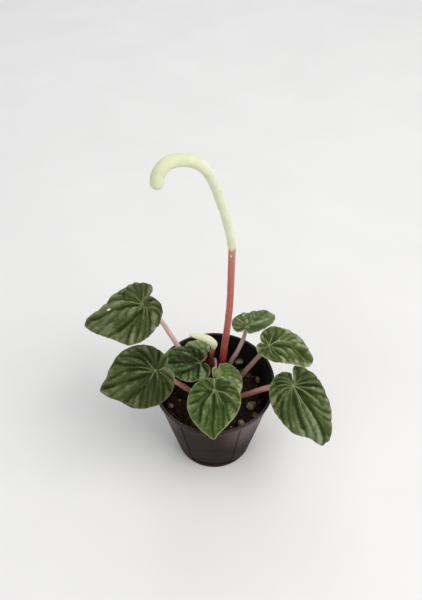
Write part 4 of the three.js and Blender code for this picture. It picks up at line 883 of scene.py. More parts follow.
def build_leaf(name):
    spec, look = LEAVES[name], LEAF_LOOK[name]
    seed, puff = look["seed"], look["puff"]
    phi, r, veins, lines, hollows, length = leaf_surface(name, spec, look)
    O = np.stack([r * np.cos(phi), r * np.sin(phi)], 1)
    run = np.r_[0, np.cumsum(np.linalg.norm(np.diff(O, axis=0), axis=1))]
    total = run[-1]
    rings = max(24, int(round(float(np.percentile(r, 75)) / (POINT_STEP * 1.05))))
    # more rings close together near the margin
    share = np.linspace(0, 1, rings + 1)[1:]
    share = np.r_[share[:-1], 1 - 0.16 / float(r.mean()), 1.0]
    share = np.unique(np.round(share, 5))
    rings = len(share)
    counts, first, pts = [1], [0], [np.zeros((1, 2))]
    for s in share:
        n = max(9, int(round(total * s / POINT_STEP)) + 1)
        g = np.linspace(0, total, n)
        pts.append(np.stack([np.interp(g, run, O[:, 0]), np.interp(g, run, O[:, 1])], 1) * s)
        first.append(first[-1] + counts[-1])
        counts.append(n)
    q = np.vstack(pts)
    N = len(q)
    rad = np.hypot(q[:, 0], q[:, 1])
    ang = np.arctan2(q[:, 1], q[:, 0])
    tvals = np.concatenate([[0.5]] + [np.linspace(0, 1, n) for n in counts[1:]])
    svals = np.concatenate([[0.0]] + [np.full(n, s) for n, s in zip(counts[1:], share)])
    poly = np.vstack([[0, 0], O[::4], O[-1:]])
    edge = to_lines(q, poly[:-1], poly[1:])
    edge = np.minimum(edge, to_lines(q, poly[-1:], poly[:1]))
    quilt = pucker(phi, r, veins, look, seed)
    # the margin swells where a ridge runs out over it
    over = quilt(O * 0.93)
    over = np.convolve(np.pad(over, 12, mode="edge"), np.ones(25) / 25, "valid")
    over = over - over.mean()
    q = q * (1 + look.get("scallop", 0.05) * np.interp(tvals, run / total, over) * svals ** 5)[:, None]
    rad = np.hypot(q[:, 0], q[:, 1])
    O2 = O * (1 + look.get("scallop", 0.05) * over)[:, None]
    poly = np.vstack([[0, 0], O2[::4], O2[-1:]])
    outer = to_lines(q, O2[:-4:4], O2[4::4])
    edge = np.minimum(to_lines(q, poly[:-1], poly[1:]), to_lines(q, poly[-1:], poly[:1]))
    trim = np.minimum(outer, edge + 0.20)
    lift = quilt(q)
    lift = lift * smooth(rad, 0.2, 3.0)

    def beside(line):
        """Distance to a polyline and the place 0..1 along it."""
        A, B = line[:-1], line[1:]
        best, place = np.full(N, 1e9), np.zeros(N)
        for i in range(len(A)):
            e = B[i] - A[i]
            t = np.clip(((q - A[i]) @ e) / max(e @ e, 1e-9), 0, 1)
            dd = np.hypot(q[:, 0] - A[i, 0] - t * e[0], q[:, 1] - A[i, 1] - t * e[1])
            m = dd < best
            best[m] = dd[m]
            place[m] = (i + t[m]) / len(A)
        return best, place
    hollow = np.zeros(N)
    for w, half, line in hollows:
        dd, t = beside(line[::3])
        hollow = np.maximum(hollow, w * np.exp(-(dd / half) ** 2))
    hollow *= smooth(edge, 0.2, 1.5)
    vein, crease = np.zeros(N), np.zeros(N)
    for w, line in lines:
        dd, t = beside(line[::2] if len(line) > 12 else line)
        fade = 1 - smooth(t, 0.55, 1.0)
        vein = np.maximum(vein, np.clip(w, 0, 1.3) * fade * np.exp(-(dd / (0.26 - 0.07 * t)) ** 2))
        crease = np.maximum(crease, w * (1 - smooth(t, 0.7, 1.0)) * np.exp(-(dd / 0.42) ** 2))
    crease *= smooth(rad, 0.6, 2.2)
    vein = np.clip(np.maximum(vein, np.exp(-(rad / look.get("hub", 0.72)) ** 2)), 0, 1)
    lift = lift * (1 - 0.62 * hollow)
    fleck = np.zeros(N)
    for u, v, a, b, w in FLECKS.get(name, []):
        fleck = np.maximum(fleck, w * np.clip(1 - 0.5 * np.hypot((q[:, 0] - u) / a, (q[:, 1] - v) / b), 0, 1))
    # how high each place stands among all of the blade, 0..1
    high = lift + 0.12 * crease
    q10, q50, q90 = np.quantile(high, (0.1, 0.5, 0.9))
    # tone paints the furrows darker and the crests paler: partly the blade's own colour, partly painted shade and
    # painted highlight; the broad hollows get painted shade
    tone = 0.50 + look.get("stripe", 0.5) * (high - q50) / (q90 - q10)
    tone = tone - 0.45 * hollow + 0.16 * fbm(np.c_[q / 5.5, np.full(N, seed * 1.3)], seed + 81, 2)
    tone = np.clip(tone, 0, 1.1)

    def along(order):
        lines = [v for v, o in veins if o in order]
        return to_lines(q, np.vstack([v[:-1] for v in lines]), np.vstack([v[1:] for v in lines]))
    d_mid, d_one, d_two = along((0,)), along((1,)), along((2, 3))
    far = rad / length
    rib = np.maximum.reduce([np.exp(-(d_mid / 0.55) ** 2) * (1 - 0.6 * far), 0.75 * np.exp(-(d_one / 0.45) ** 2) * (1 - 0.7 * far),
                             0.35 * np.exp(-(d_two / 0.3) ** 2)])
    fine = fbm(np.c_[q / 0.9, np.full(N, seed * 0.31)], seed + 40, 2)
    slow = fbm(np.c_[q / 9.0, np.full(N, seed * 0.77)], seed + 60, 2)
    wave = look.get("wave", 0.42) * svals ** 3 * fbm(np.c_[np.cos(ang) * 2.1, np.sin(ang) * 2.1, np.full(N, seed * 2.3)], seed + 70, 2) * min(1, length / 20)
    # the two sides of the notch: one a little raised, the other a little lowered
    lobe = (0.34 * np.exp(-((tvals * total) / 3.2) ** 2) - 0.22 * np.exp(-(((1 - tvals) * total) / 3.2) ** 2)) * smooth(rad, 0.8, 5)
    top = (-spec["ku"] * q[:, 0] ** 2 - spec["kv"] * q[:, 1] ** 2 + puff * (lift - 0.42 + 0.22 * np.exp(-(rad / 1.6) ** 2)) + 0.30 * crease + 0.08 * smooth(fleck, 0.3, 0.7) + 0.045 * fine * smooth(edge, 0.1, 0.8)
           + 0.35 * slow * svals + wave + lobe - 0.13 * (1 - smooth(edge, 0.0, 0.42)))
    thick = 0.14 + (BLADE - 0.14) * smooth(edge, 0.0, 1.1) + 0.30 * rib * smooth(edge, 0.1, 1.5)
    thick = thick + (1.45 * np.exp(-(rad / 1.45) ** 2) if look["notch"] is not None else 0.5 * np.exp(-(rad / 1.2) ** 2))
    low = top - thick
    U, V, W = leaf_frame(spec["az"], spec["dip"], spec["roll"])
    origin = np.array(spec["at"], float)
    place = lambda w: origin + q[:, :1] * U + q[:, 1:] * V + w[:, None] * W
    verts = np.vstack([place(top), place(low)])
    tris = np.vstack([zipper(first[k], counts[k], first[k + 1], counts[k + 1]) for k in range(rings)])
    under = tris[:, ::-1] + N
    a, n = first[-1], counts[-1]
    j = np.arange(n - 1)
    rim = np.stack([a + j + 1, a + j, N + a + j, N + a + j + 1], 1)
    # both open sides of the notch
    left = np.array([first[k] for k in range(rings + 1)])
    right = np.array([first[k] + counts[k] - 1 for k in range(rings + 1)])
    side1 = np.stack([left[1:], left[:-1], N + left[:-1], N + left[1:]], 1)
    side2 = np.stack([right[:-1], right[1:], N + right[1:], N + right[:-1]], 1)
    # one sense for every face: check against the top skin
    t0 = tris[len(tris) // 2]
    e = q[t0]
    if (e[1, 0] - e[0, 0]) * (e[2, 1] - e[0, 1]) - (e[1, 1] - e[0, 1]) * (e[2, 0] - e[0, 0]) < 0:
        tris, under = tris[:, ::-1], under[:, ::-1]
        flipped = True
    else:
        flipped = False
    rim, side1, side2 = ((f if not flipped else f[:, ::-1]) for f in (rim, side1, side2))
    # texture map: top skin on the left half, underside on the right
    lo, hi = q.min(0) - 0.5, q.max(0) + 0.5
    m = (q - lo) / (hi - lo)
    t_uv = np.c_[0.005 + 0.49 * m[:, 0], 0.01 + 0.98 * m[:, 1]]
    u_uv = np.c_[0.505 + 0.49 * m[:, 0], 0.01 + 0.98 * m[:, 1]]
    out = np.c_[q * (1 + 0.18 / np.maximum(rad, 0.5))[:, None]]
    mo = (out - lo) / (hi - lo)
    o_uv = np.c_[0.505 + 0.49 * mo[:, 0], 0.01 + 0.98 * mo[:, 1]]
    pick = lambda f: np.where((f < N)[:, :, None], o_uv[f % N], u_uv[f % N])
    me = make_mesh(name + "_blade", verts, [tris, under, rim, side1, side2], outward=False,
                   uvs=[t_uv[tris], u_uv[under - N], pick(rim), pick(side1), pick(side2)],
                   attrs={
                       "crest": np.r_[tone, tone * 0.6],
                       "hollow": np.r_[hollow, hollow * 0],
                       "vein": np.r_[vein, np.maximum(vein * 0.5, rib * 0.8)],
                       "rim": np.r_[np.clip(trim / 2, 0, 3), np.clip(trim / 2, 0, 3)],
                       "fleck": np.r_[fleck, fleck * 0],
                       "under": np.r_[np.zeros(N), np.ones(N)],
                       "far": np.r_[np.clip(far, 0, 1.2), np.clip(far, 0, 1.2)],
                   })
    return me


def leaf_material(name, low, mid, high, rim, line, gloss, pucker_highlight=0.26):
    k = Mat(name)
    crest, vein, edge, under, hollow = (k.attr(x) for x in ("crest", "vein", "rim", "under", "hollow"))
    # uneven strength of the green over a few millimetres
    patch = k.noise(3.2, 3, 0.6, distort=0.4)
    grain = k.noise(0.55, 3, 0.65)
    height = k.math("ADD", crest, k.math("MULTIPLY", k.math("SUBTRACT", patch, 0.5), 0.24))
    height = k.math("ADD", height, k.math("MULTIPLY", k.math("SUBTRACT", k.noise(1.1, 2, 0.5), 0.5), 0.20))
    height = k.math("ADD", height, k.math("MULTIPLY", k.math("SUBTRACT", grain, 0.5), 0.22))
    between = lambda a, b, f: tuple((1 - f) * x + f * y for x, y in zip(a, b))
    # darker in the furrows, paler on the crests: partly the blade's own colour, partly painted shade and painted
    # highlight
    body = k.ramp(height, [(0.02, low), (0.26, between(low, mid, 0.5)), (0.52, mid), (0.78, between(mid, high, 0.36)), (1.0, high)])
    # duller and browner towards the margin
    body = k.mix(k.map(edge, 0.1, 2.4, 0.34, 0.0), body, k.mix(1.0, body, (1.30, 1.02, 1.25, 1), "MULTIPLY"))
    # minute pale dots on the crests: pale glands with painted sheen on them (painted highlight)
    dots = k.cells(0.34, "F1", randomness=1.0)
    glint = k.math("MULTIPLY", k.map(dots, 0.34, 0.10), k.map(crest, 0.45, 0.95))
    body = k.mix(k.math("MULTIPLY", glint, 0.20), body, tuple(min(1, x * 1.4 + 0.008) for x in high[:3]) + (1,))
    # small puckers standing on the crests, painted paler as painted highlight where they catch the light
    knob = k.math("ADD", k.cells(0.85, "F1", randomness=1.0), k.math("MULTIPLY", k.math("SUBTRACT", k.noise(0.7, 3, 0.6), 0.5), 0.55))
    some = k.map(k.noise(2.6, 2, 0.5), 0.42, 0.58)
    fleck = k.math("MULTIPLY", k.math("MULTIPLY", k.map(knob, 0.46, 0.12), some), k.map(crest, 0.36, 0.80))
    body = k.mix(k.math("MULTIPLY", fleck, pucker_highlight), body, tuple(0.4 * a + 0.6 * b for a, b in zip(high, lin(178, 190, 160))))
    # painted shade in the broad hollows
    body = k.mix(k.math("MULTIPLY", hollow, 0.45), body, tuple(0.8 * a + 0.08 * b for a, b in zip(low, mid)))
    tone = k.noise(7.0, 2, 0.5)
    body = k.mix(k.map(tone, 0.42, 0.68, 0, 0.18), body, tuple(a * b for a, b in zip(mid, (0.92, 1.12, 0.80, 1))))
    pale = tuple(0.5 * a + 0.5 * b for a, b in zip(rim, lin(170, 184, 132)))
    body = k.mix(k.math("MULTIPLY", vein, 0.62), body, pale)
    body = k.mix(k.map(edge, 0.03, 0.19, line, 0.0), body, rim)
    body = k.mix(k.map(k.math("ADD", k.attr("fleck"), k.math("MULTIPLY", k.math("SUBTRACT", k.noise(0.5, 3, 0.6), 0.5), 0.5)), 0.42, 0.62), body, lin(232, 232, 214))
    # underside: paler and flushed with dull red, ribs redder
    back = k.ramp(k.noise(1.4, 3, 0.6), [(0.3, tuple(0.5 * a + 0.5 * b for a, b in zip(mid, lin(120, 112, 84)))),
                                         (0.7, tuple(0.4 * a + 0.6 * b for a, b in zip(mid, lin(150, 150, 112))))])
    back = k.mix(k.math("MULTIPLY", vein, 0.7), back, lin(168, 112, 98))
    back = k.mix(k.map(edge, 0.03, 0.22, 0.7, 0.0), back, rim)
    colour = k.mix(under, body, back)
    rough = k.math("ADD", k.map(grain, 0.3, 0.7, 0.42 - 0.14 * gloss, 0.56 - 0.12 * gloss), k.math("MULTIPLY", vein, 0.08))
    rough = k.math("ADD", rough, k.map(patch, 0.35, 0.65, -0.05, 0.05))
    skin = k.bump(dots, 0.20, 0.05)
    skin = k.bump(grain, 0.28, 0.10, skin)
    skin = k.bump(k.noise(1.3, 2, 0.5), 0.22, 0.25, skin)
    skin = k.bump(k.math("MULTIPLY", knob, -1.0), 0.26, 0.22, skin)
    k.set(Base_Color=colour, Roughness=rough, Normal=skin)
    k.b.inputs["Specular IOR Level"].default_value = 0.15 + 0.30 * gloss
    k.b.inputs["Specular Tint"].default_value = (1.0, 1.0, 0.62, 1.0)
    return k.m


for _name, _look in LEAF_LOOK.items():
    _me = build_leaf(_name)
    piece(_name + "_blade", _me, leaf_material(_name + "_skin", lin(*_look["low"]), lin(*_look["mid"]), lin(*_look["high"]), lin(*_look["rim"]), _look["line"], _look["gloss"]),
          [_name])

# ------------------------------------------------------------------ stems
def tube(points, radii, step=0.4, sides=28, ends=("dome", "dome"), relief=None):
    """A closed stem along a smooth curve. radii: values evenly spread along it, or a function of the place 0..1.
    relief(s_mm, theta, share) gives mm to add to the radius. ends: "dome" or "round", which stays inside the curve's length."""
    C, L = spline(points, 8)
    n = max(12, int(round(L / step)) + 1)
    C, L = spline(points, n)
    rf = radii if callable(radii) else (lambda t: np.interp(t, np.linspace(0, 1, len(radii)), radii))
    t = np.linspace(0, 1, n)
    if ends[1] == "round":
        keep = t <= 1 - float(rf(1.0)) / L
        C, t = C[keep], t[keep]
    T = np.gradient(C, axis=0)
    T /= np.linalg.norm(T, axis=1)[:, None]
    N = np.zeros_like(C)
    v = np.array([1.0, 0, 0])
    for i in range(len(C)):
        v = v - T[i] * (v @ T[i])
        v /= np.linalg.norm(v)
        N[i] = v
    B = np.cross(T, N)
    rad = rf(t)
    s = t * L
    caps = (0.2, 0.4, 0.6, 0.78, 0.91, 0.985)
    rows = []
    for a in reversed(caps):
        d = 0.55 if ends[0] == "dome" else 1.0
        rows.append((C[0] - T[0] * a * rad[0] * d, N[0], B[0], rad[0] * math.sqrt(1 - a * a), s[0], t[0]))
    for i in range(len(C)):
        rows.append((C[i], N[i], B[i], rad[i], s[i], t[i]))
    for a in caps:
        d = 0.55 if ends[1] == "dome" else 1.0
        rows.append((C[-1] + T[-1] * a * rad[-1] * d, N[-1], B[-1], rad[-1] * math.sqrt(1 - a * a), s[-1] + a * rad[-1], 1.0))
    c, nn, bb, rr, ss, tt = (np.array([r[i] for r in rows]) for i in range(6))
    th = 2 * math.pi * np.arange(sides) / sides
    extra = relief(ss[:, None], th[None, :], tt[:, None]) if relief else 0.0
    full = np.maximum(rr[:, None] + extra * (rr / np.maximum(rf(tt), 1e-6))[:, None], 0.02)
    P = (c[:, None] + nn[:, None] * (full * np.cos(th))[:, :, None] + bb[:, None] * (full * np.sin(th))[:, :, None])
    R = len(rows)
    verts = np.vstack([P.reshape(-1, 3),
                       C[0] - T[0] * rad[0] * (0.55 if ends[0] == "dome" else 1.0),
                       C[-1] + T[-1] * rad[-1] * (0.55 if ends[1] == "dome" else 1.0)])
    f, uv = ring_faces(R, sides)
    k = np.arange(sides)
    k2 = (k + 1) % sides
    p0, p1 = R * sides, R * sides + 1
    cap0 = np.stack([np.full(sides, p0), k2, k], 1)
    cap1 = np.stack([np.full(sides, p1), (R - 1) * sides + k, (R - 1) * sides + k2], 1)
    uv0 = np.stack([np.c_[(k + 0.5) / sides, np.zeros(sides)], np.c_[(k + 1) / sides, np.full(sides, 0.001)], np.c_[k / sides, np.full(sides, 0.001)]], 1)
    uv1 = np.stack([np.c_[(k + 0.5) / sides, np.ones(sides)], np.c_[k / sides, np.full(sides, 0.999)], np.c_[(k + 1) / sides, np.full(sides, 0.999)]], 1)
    at = np.r_[np.repeat(tt, sides), 0, 1]
    mm = np.r_[np.repeat(ss, sides), ss[0], ss[-1]]
    theta = np.r_[np.tile(th, R), 0, 0]
    return verts, [f, cap0, cap1], [uv, uv0, uv1], dict(share=at, mm=mm, theta=theta, rows=R, sides=sides, length=L)


def stem_relief(seed, groove=0.05, knobs=0.03):
    """Soft irregularity of a fleshy stalk, with a faint channel on one side."""
    def f(s, th, t):
        S, H = np.broadcast_arrays(s, th)
        p = np.stack([np.cos(H).ravel() * 0.9, np.sin(H).ravel() * 0.9, S.ravel() / 3.4], 1)
        q = np.stack([np.cos(H).ravel() * 2.4, np.sin(H).ravel() * 2.4, S.ravel() / 0.9], 1)
        out = (knobs * 1.6 * fbm(p + seed * 3.1, seed, 2) + knobs * 0.35 * fbm(q + seed, seed + 3, 2)).reshape(S.shape)
        d = (H - math.pi / 2 + math.pi) % (2 * math.pi) - math.pi
        return out - groove * np.exp(-(d / 0.45) ** 2)
    return f


def stem_material(name, stops, speck, speck_size=0.55, gloss=0.34, streak=0.5, pale_specks=False, collar=None, marks=()):
    """Fleshy stalk: colour runs along it by the stops (place, colour), with fine streaks and specks."""
    k = Mat(name)
    at = k.attr("share")
    wander = k.math("MULTIPLY", k.math("SUBTRACT", k.noise(5.0, 2), 0.5), 0.16)
    body = k.ramp(k.math("ADD", at, wander, clamp=True), [(p, lin(*c)) for p, c in stops])
    # streaks run along the stalk: noise stretched with it
    lines = k.t.nodes.new("ShaderNodeCombineXYZ")
    k.put(lines.inputs[0], k.math("MULTIPLY", k.attr("ring_x"), 3.2))
    k.put(lines.inputs[1], k.math("MULTIPLY", k.attr("ring_y"), 3.2))
    k.put(lines.inputs[2], k.math("MULTIPLY", k.attr("run"), 0.16))
    n = k.t.nodes.new("ShaderNodeTexNoise")
    k.put(n.inputs["Vector"], lines.outputs[0])
    n.inputs["Scale"].default_value = 2.2
    n.inputs["Detail"].default_value = 4
    fibres = n.outputs["Fac"]
    body = k.mix(k.map(fibres, 0.35, 0.65, 0.0, streak), body, k.mix(1.0, body, lin(235, 205, 196), "MULTIPLY"))
    dots = k.cells(speck_size, "F1")
    some = k.noise(speck_size * 2.4, 1)
    mark = k.math("MULTIPLY", k.map(dots, 0.30, 0.16), k.map(some, 0.52, 0.62))
    body = k.mix(k.math("MULTIPLY", mark, 0.55), body, lin(*speck))
    if pale_specks:
        rare = k.cells(2.6, "F1")
        body = k.mix(k.math("MULTIPLY", k.map(rare, 0.10, 0.06), 0.45), body, lin(214, 176, 150))
    if collar:                                  # pale ring where the spike sits on its stalk
        ring = k.math("ADD", at, k.math("MULTIPLY", k.math("SUBTRACT", k.noise(1.2, 2), 0.5), 0.006))
        body = k.mix(k.map(ring, collar[0], collar[1], 0.0, 0.75), body, lin(*collar[2]))
    for place, turn, tall, wide, length in marks:   # single long pale lenticels
        dx = k.math("SUBTRACT", k.attr("ring_x"), math.cos(turn * DEG))
        dy = k.math("SUBTRACT", k.attr("ring_y"), math.sin(turn * DEG))
        dz = k.math("MULTIPLY", k.math("SUBTRACT", at, place), length / tall)
        side = k.math("ADD", k.math("MULTIPLY", dx, dx), k.math("MULTIPLY", dy, dy))
        far = k.math("ADD", k.math("MULTIPLY", side, 1 / (wide * wide)), k.math("MULTIPLY", dz, dz))
        body = k.mix(k.map(far, 1.5, 0.5, 0.0, 0.95), body, lin(244, 212, 192))
    rough = k.map(k.noise(0.8, 3), 0.3, 0.7, gloss - 0.05, gloss + 0.10)
    nrm = k.bump(fibres, 0.25, 0.10)
    nrm = k.bump(k.noise(0.35, 3), 0.20, 0.05, nrm)
    k.set(Base_Color=body, Roughness=rough, Normal=nrm)
    k.b.inputs["Specular IOR Level"].default_value = 0.45
    k.b.inputs["Subsurface Weight"].default_value = 0.12
    k.b.inputs["Subsurface Radius"].default_value = (1.0, 0.35, 0.25)
    k.b.inputs["Subsurface Scale"].default_value = 0.0012
    return k.m


def stem_piece(name, node, points, radii, material, seed, step=0.4, sides=28, ends=("dome", "dome"), relief=None):
    verts, faces, uvs, info = tube(points, radii, step, sides, ends, relief or stem_relief(seed))
    me = make_mesh(name, verts, faces, uvs=uvs, attrs={
        "share": info["share"], "run": info["mm"], "ring_x": np.cos(info["theta"]), "ring_y": np.sin(info["theta"])})
    return piece(name, me, material, [node] if node else None)


# colours along each leaf stalk, from the crown to the blade
STALK_LOOK = {
    "petiole_a": [(0.0, (112, 58, 52)), (0.22, (168, 118, 104)), (0.50, (218, 186, 185)), (0.85, (219, 191, 180)), (1.0, (196, 170, 146))],
    # petiole_b: set paler partly as painted light, making up for the shade it stands in
    "petiole_b": [(0.0, (132, 84, 70)), (0.30, (202, 158, 126)), (0.60, (232, 180, 150)), (1.0, (218, 170, 140))],
    "petiole_c": [(0.0, (92, 50, 42)), (0.6, (96, 62, 50)), (1.0, (112, 90, 66))],
    "petiole_d": [(0.0, (124, 64, 56)), (0.6, (168, 112, 90)), (1.0, (172, 150, 110))],
    "petiole_e": [(0.0, (92, 50, 44)), (0.6, (120, 86, 74)), (1.0, (150, 126, 108))],
    "petiole_f": [(0.0, (112, 58, 52)), (0.35, (138, 98, 88)), (0.7, (184, 158, 150)), (1.0, (198, 178, 160))],
    "petiole_g": [(0.0, (112, 60, 54)), (0.45, (154, 114, 104)), (1.0, (170, 142, 126))],
    "petiole_h": [(0.0, (138, 64, 60)), (0.3, (186, 120, 110)), (0.6, (212, 164, 143)), (1.0, (208, 184, 148))],
    "petiole_i": [(0.0, (118, 62, 52)), (0.6, (140, 96, 70)), (1.0, (146, 118, 80))],
}
# extra points that carry the stalk from its CAD end up to the blade, where that isn't simply from below
LAST = {
    "petiole_c": [[-3.75, 7.0, 63.15], [-3.9, 5.4, 63.35], [-4.9, 3.9, 63.1], [-6.3, 2.95, 62.65]],
    "petiole_e": [[0.85, 2.66, 62.37], [0.92, 1.1, 61.44], [1.23, -0.69, 61.12]],
}
TURNED = {"petiole_e": 1}      # how many of the CAD end points give way to these


def stalk_points(name):
    spec = STALKS[name]
    leaf = LEAVES["leaf_" + name[-1]]
    pts = [list(p) for p in spec["pts"]]
    a = np.array(pts[0])
    inward = a + (np.array([0.25 * a[0], 0.25 * a[1], a[2] - 2.4]) - a) * 0.9
    pts = [inward.tolist()] + pts
    if name in LAST:
        pts = pts[:len(pts) - TURNED.get(name, 0)] + LAST[name]
    else:
        U, V, W = leaf_frame(leaf["az"], leaf["dip"], leaf["roll"])
        end = np.array(leaf["at"]) - 2.45 * W
        if np.linalg.norm(end - np.array(pts[-1])) < 2.2:
            pts[-1] = (0.5 * end + 0.5 * np.array(pts[-2]) if np.linalg.norm(end - np.array(pts[-2])) < 4 else pts[-1])
            pts[-1] = list(pts[-1])
        if np.linalg.norm(end - np.array(pts[-1])) > 0.6:
            pts.append(end.tolist())
    return pts


for _i, (_name, _stops) in enumerate(STALK_LOOK.items()):
    _r = STALKS[_name]["r"]
    _pts = stalk_points(_name)
    _thin = _name in LAST

    def _radius(t, r=_r, thin=_thin):
        t = np.asarray(t, float)
        base = (r[0] + (r[1] - r[0]) * t) * (1 - (0.30 * smooth(t, 0.45, 0.8) if thin else 0))
        flare = 0.42 * np.exp(-(t / 0.085) ** 2)
        join = (-0.28 if thin else -0.14) * np.exp(-((1 - t) / (0.06 if thin else 0.05)) ** 2)
        return base * (1 + flare + join)
    stem_piece(_name + "_stalk", _name, _pts, _radius,
               stem_material(_name + "_skin", _stops, (138, 60, 58)), 30 + _i, step=0.36, sides=30)

# flower stalks
_t = SPIKES["tall_peduncle"]
_base = [[1.1, -0.2, 39.2]] + _t["pts"] + [[7.06, -0.62, 141.4], [6.96, -0.82, 143.8]]
_line, _long = spline(_base, 900)
_at = lambda z: float(np.interp(z, _line[:, 2], np.linspace(0, 1, len(_line))))
stem_piece("tall_flower_stalk", "tall_peduncle", _base,
           lambda t: np.interp(t, np.linspace(0, 1, 7), [2.2, 1.8, 1.64, 1.57, 1.52, 1.49, 1.47]) * (1 + 0.25 * np.exp(-(np.asarray(t) / 0.03) ** 2)),
           stem_material("tall_flower_stalk_skin", [(0.0, (82, 28, 32)), (0.10, (100, 30, 36)), (0.24, (134, 46, 48)), (0.34, (157, 74, 68)), (0.44, (181, 98, 88)),
                                                   (0.62, (192, 108, 100)), (0.82, (190, 112, 100)), (0.93, (190, 130, 112)), (1.0, (196, 156, 132))],
                         (120, 34, 44), 0.6, 0.30, 0.45, pale_specks=True, collar=(_at(140.9), _at(141.9), (226, 206, 178)),
                         marks=[(_at(141.7), -90, 0.75, 0.28, _long), (_at(138.0), -104, 0.75, 0.28, _long)]), 51, step=0.4, sides=40,
           relief=stem_relief(51, 0.04, 0.028))
_t = SPIKES["young_peduncle"]
stem_piece("young_flower_stalk", "young_peduncle", [[-1.2, 0.3, 39.6]] + _t["pts"] + [[-0.36, 10.65, 64.5]],
           lambda t: np.interp(t, [0, 0.5, 1], [1.4, 1.2, 1.2]) * (1 + 0.3 * np.exp(-(np.asarray(t) / 0.08) ** 2)),
           stem_material("young_flower_stalk_skin", [(0.0, (104, 38, 36)), (0.4, (126, 50, 42)), (0.8, (140, 66, 52)), (1.0, (168, 128, 90))],
                         (96, 30, 32), 0.5, 0.34), 52, step=0.35, sides=30)


# ------------------------------------------------------------------ flower spikes
def floret_relief(pitch, height, seed, r0):
    """Minute florets packed in slanting rows round the spike."""
    def f(s, th, t):
        S, H = np.broadcast_arrays(s, th)
        round_ = max(9, int(round(2 * math.pi * r0 / pitch)))
        row = S / (pitch * 0.82)
        best = np.full(S.shape, 9.0)
        second = np.full(S.shape, 9.0)
        for dr in (-1, 0, 1):
            i = np.floor(row).astype(int) + dr
            for dc in (-1, 0, 1):
                shift = 0.5 * (i % 2) + 0.12 * i
                c = np.floor(H / (2 * math.pi) * round_ - shift).astype(int) + dc
                cm = c % round_
                jx = 0.34 * (_cell(i.ravel(), cm.ravel(), cm.ravel() * 0, seed).reshape(S.shape) - 0.5)
                jy = 0.34 * (_cell(i.ravel(), cm.ravel(), cm.ravel() * 0 + 7, seed).reshape(S.shape) - 0.5)
                x = (H / (2 * math.pi) * round_ - shift - c - 0.5 - jx)
                y = (row - i - 0.5 - jy) * 0.9
                d = np.hypot(x, y)
                second = np.where(d < best, best, np.minimum(second, d))
                best = np.minimum(best, d)
        dome = np.sqrt(np.clip(1 - (best / 0.62) ** 2, 0, 1))
        dimple = 0.38 * np.exp(-(best / 0.13) ** 2)
        p = np.stack([np.cos(H).ravel() * 1.1, np.sin(H).ravel() * 1.1, S.ravel() / 6.0], 1)
        big = fbm(p + seed, seed, 3).reshape(S.shape)
        return height * (dome - dimple - 0.5) + 0.06 * big
    return f


def spike_material(name, low, body, high, tip_green, tip=0.0):
    k = Mat(name)
    bump_, at = k.attr("floret"), k.attr("share")
    big = k.noise(5.0, 3, 0.55)
    fine = k.noise(0.5, 3, 0.6)
    v = k.math("ADD", bump_, k.math("MULTIPLY", k.math("SUBTRACT", fine, 0.5), 0.5))
    # paler on the floret tops and darker, greener between them: partly their own colour, partly painted shade in the
    # gaps and painted highlight on the tops
    col = k.ramp(v, [(0.0, low), (0.42, body), (1.0, high)])
    col = k.mix(k.map(big, 0.42, 0.66, 0, 0.45), col, tip_green)
    col = k.mix(k.map(at, 0.0, 0.10, 0.40, 0.0), col, lin(214, 216, 160))
    # darker and greener towards the far end: partly its own colour, partly painted shade
    col = k.mix(k.map(at, 0.60, 0.84, 0.0, tip), col, lin(198, 205, 158))
    # sparse brownish stigma dots
    col = k.mix(k.math("MULTIPLY", k.map(k.cells(0.9, "F1"), 0.20, 0.12), 0.22), col, lin(188, 176, 120))
    rough = k.map(fine, 0.3, 0.7, 0.48, 0.66)
    nrm = k.bump(fine, 0.3, 0.06)
    nrm = k.bump(k.cells(0.22, "F1"), 0.2, 0.03, nrm)
    k.set(Base_Color=col, Roughness=rough, Normal=nrm)
    k.b.inputs["Specular IOR Level"].default_value = 0.35
    k.b.inputs["Subsurface Weight"].default_value = 0.18
    k.b.inputs["Subsurface Radius"].default_value = (1.0, 0.9, 0.45)
    k.b.inputs["Subsurface Scale"].default_value = 0.0012
    return k.m


def spike_piece(name, node, points, radii, material, seed, step, sides, pitch, height, r0):
    rel = floret_relief(pitch, height, seed, r0)
    kept = {}

    def relief(s, th, t):
        e = rel(s, th, t)
        kept["e"] = e
        return e
    verts, faces, uvs, info = tube(points, radii, step, sides, ("dome", "round"), relief)
    e = kept["e"]
    level = np.clip((e - e.min()) / (e.max() - e.min()), 0, 1)
    me = make_mesh(name, verts, faces, uvs=uvs, attrs={
        "share": info["share"], "floret": np.r_[level.ravel(), 0.5, 0.5]})
    return piece(name, me, material, [node])


_m = spike_material("tall_spike_skin", lin(178, 184, 138), lin(222, 227, 195), lin(235, 238, 216), lin(212, 219, 174), 0.42)
_t = SPIKES["tall_spadix"]
spike_piece("tall_flower_spike", "tall_spadix", [[6.94, -0.8, 143.0]] + _t["pts"][1:-1] + [[-17.82, -24.05, 188.5]], [1.66, 1.74] + _t["r"][2:], _m, 71, 0.155, 92, 0.60, 0.15, 1.95)
_m = spike_material("young_spike_skin", lin(192, 201, 150), lin(229, 238, 199), lin(241, 246, 219), lin(216, 229, 174))
_t = SPIKES["young_spadix"]
spike_piece("young_flower_spike", "young_spadix", [[x - 0.6 * min(1, i / 2), y, z - 0.25 * min(1, i / 2)] for i, (x, y, z) in enumerate(_t["pts"][:-1])] + [[-12.2, 15.2, 68.8]],
            [1.25, 1.8, 1.9, 1.8, 1.55, 1.2, 0.8], _m, 72, 0.155, 76, 0.55, 0.13, 1.7)

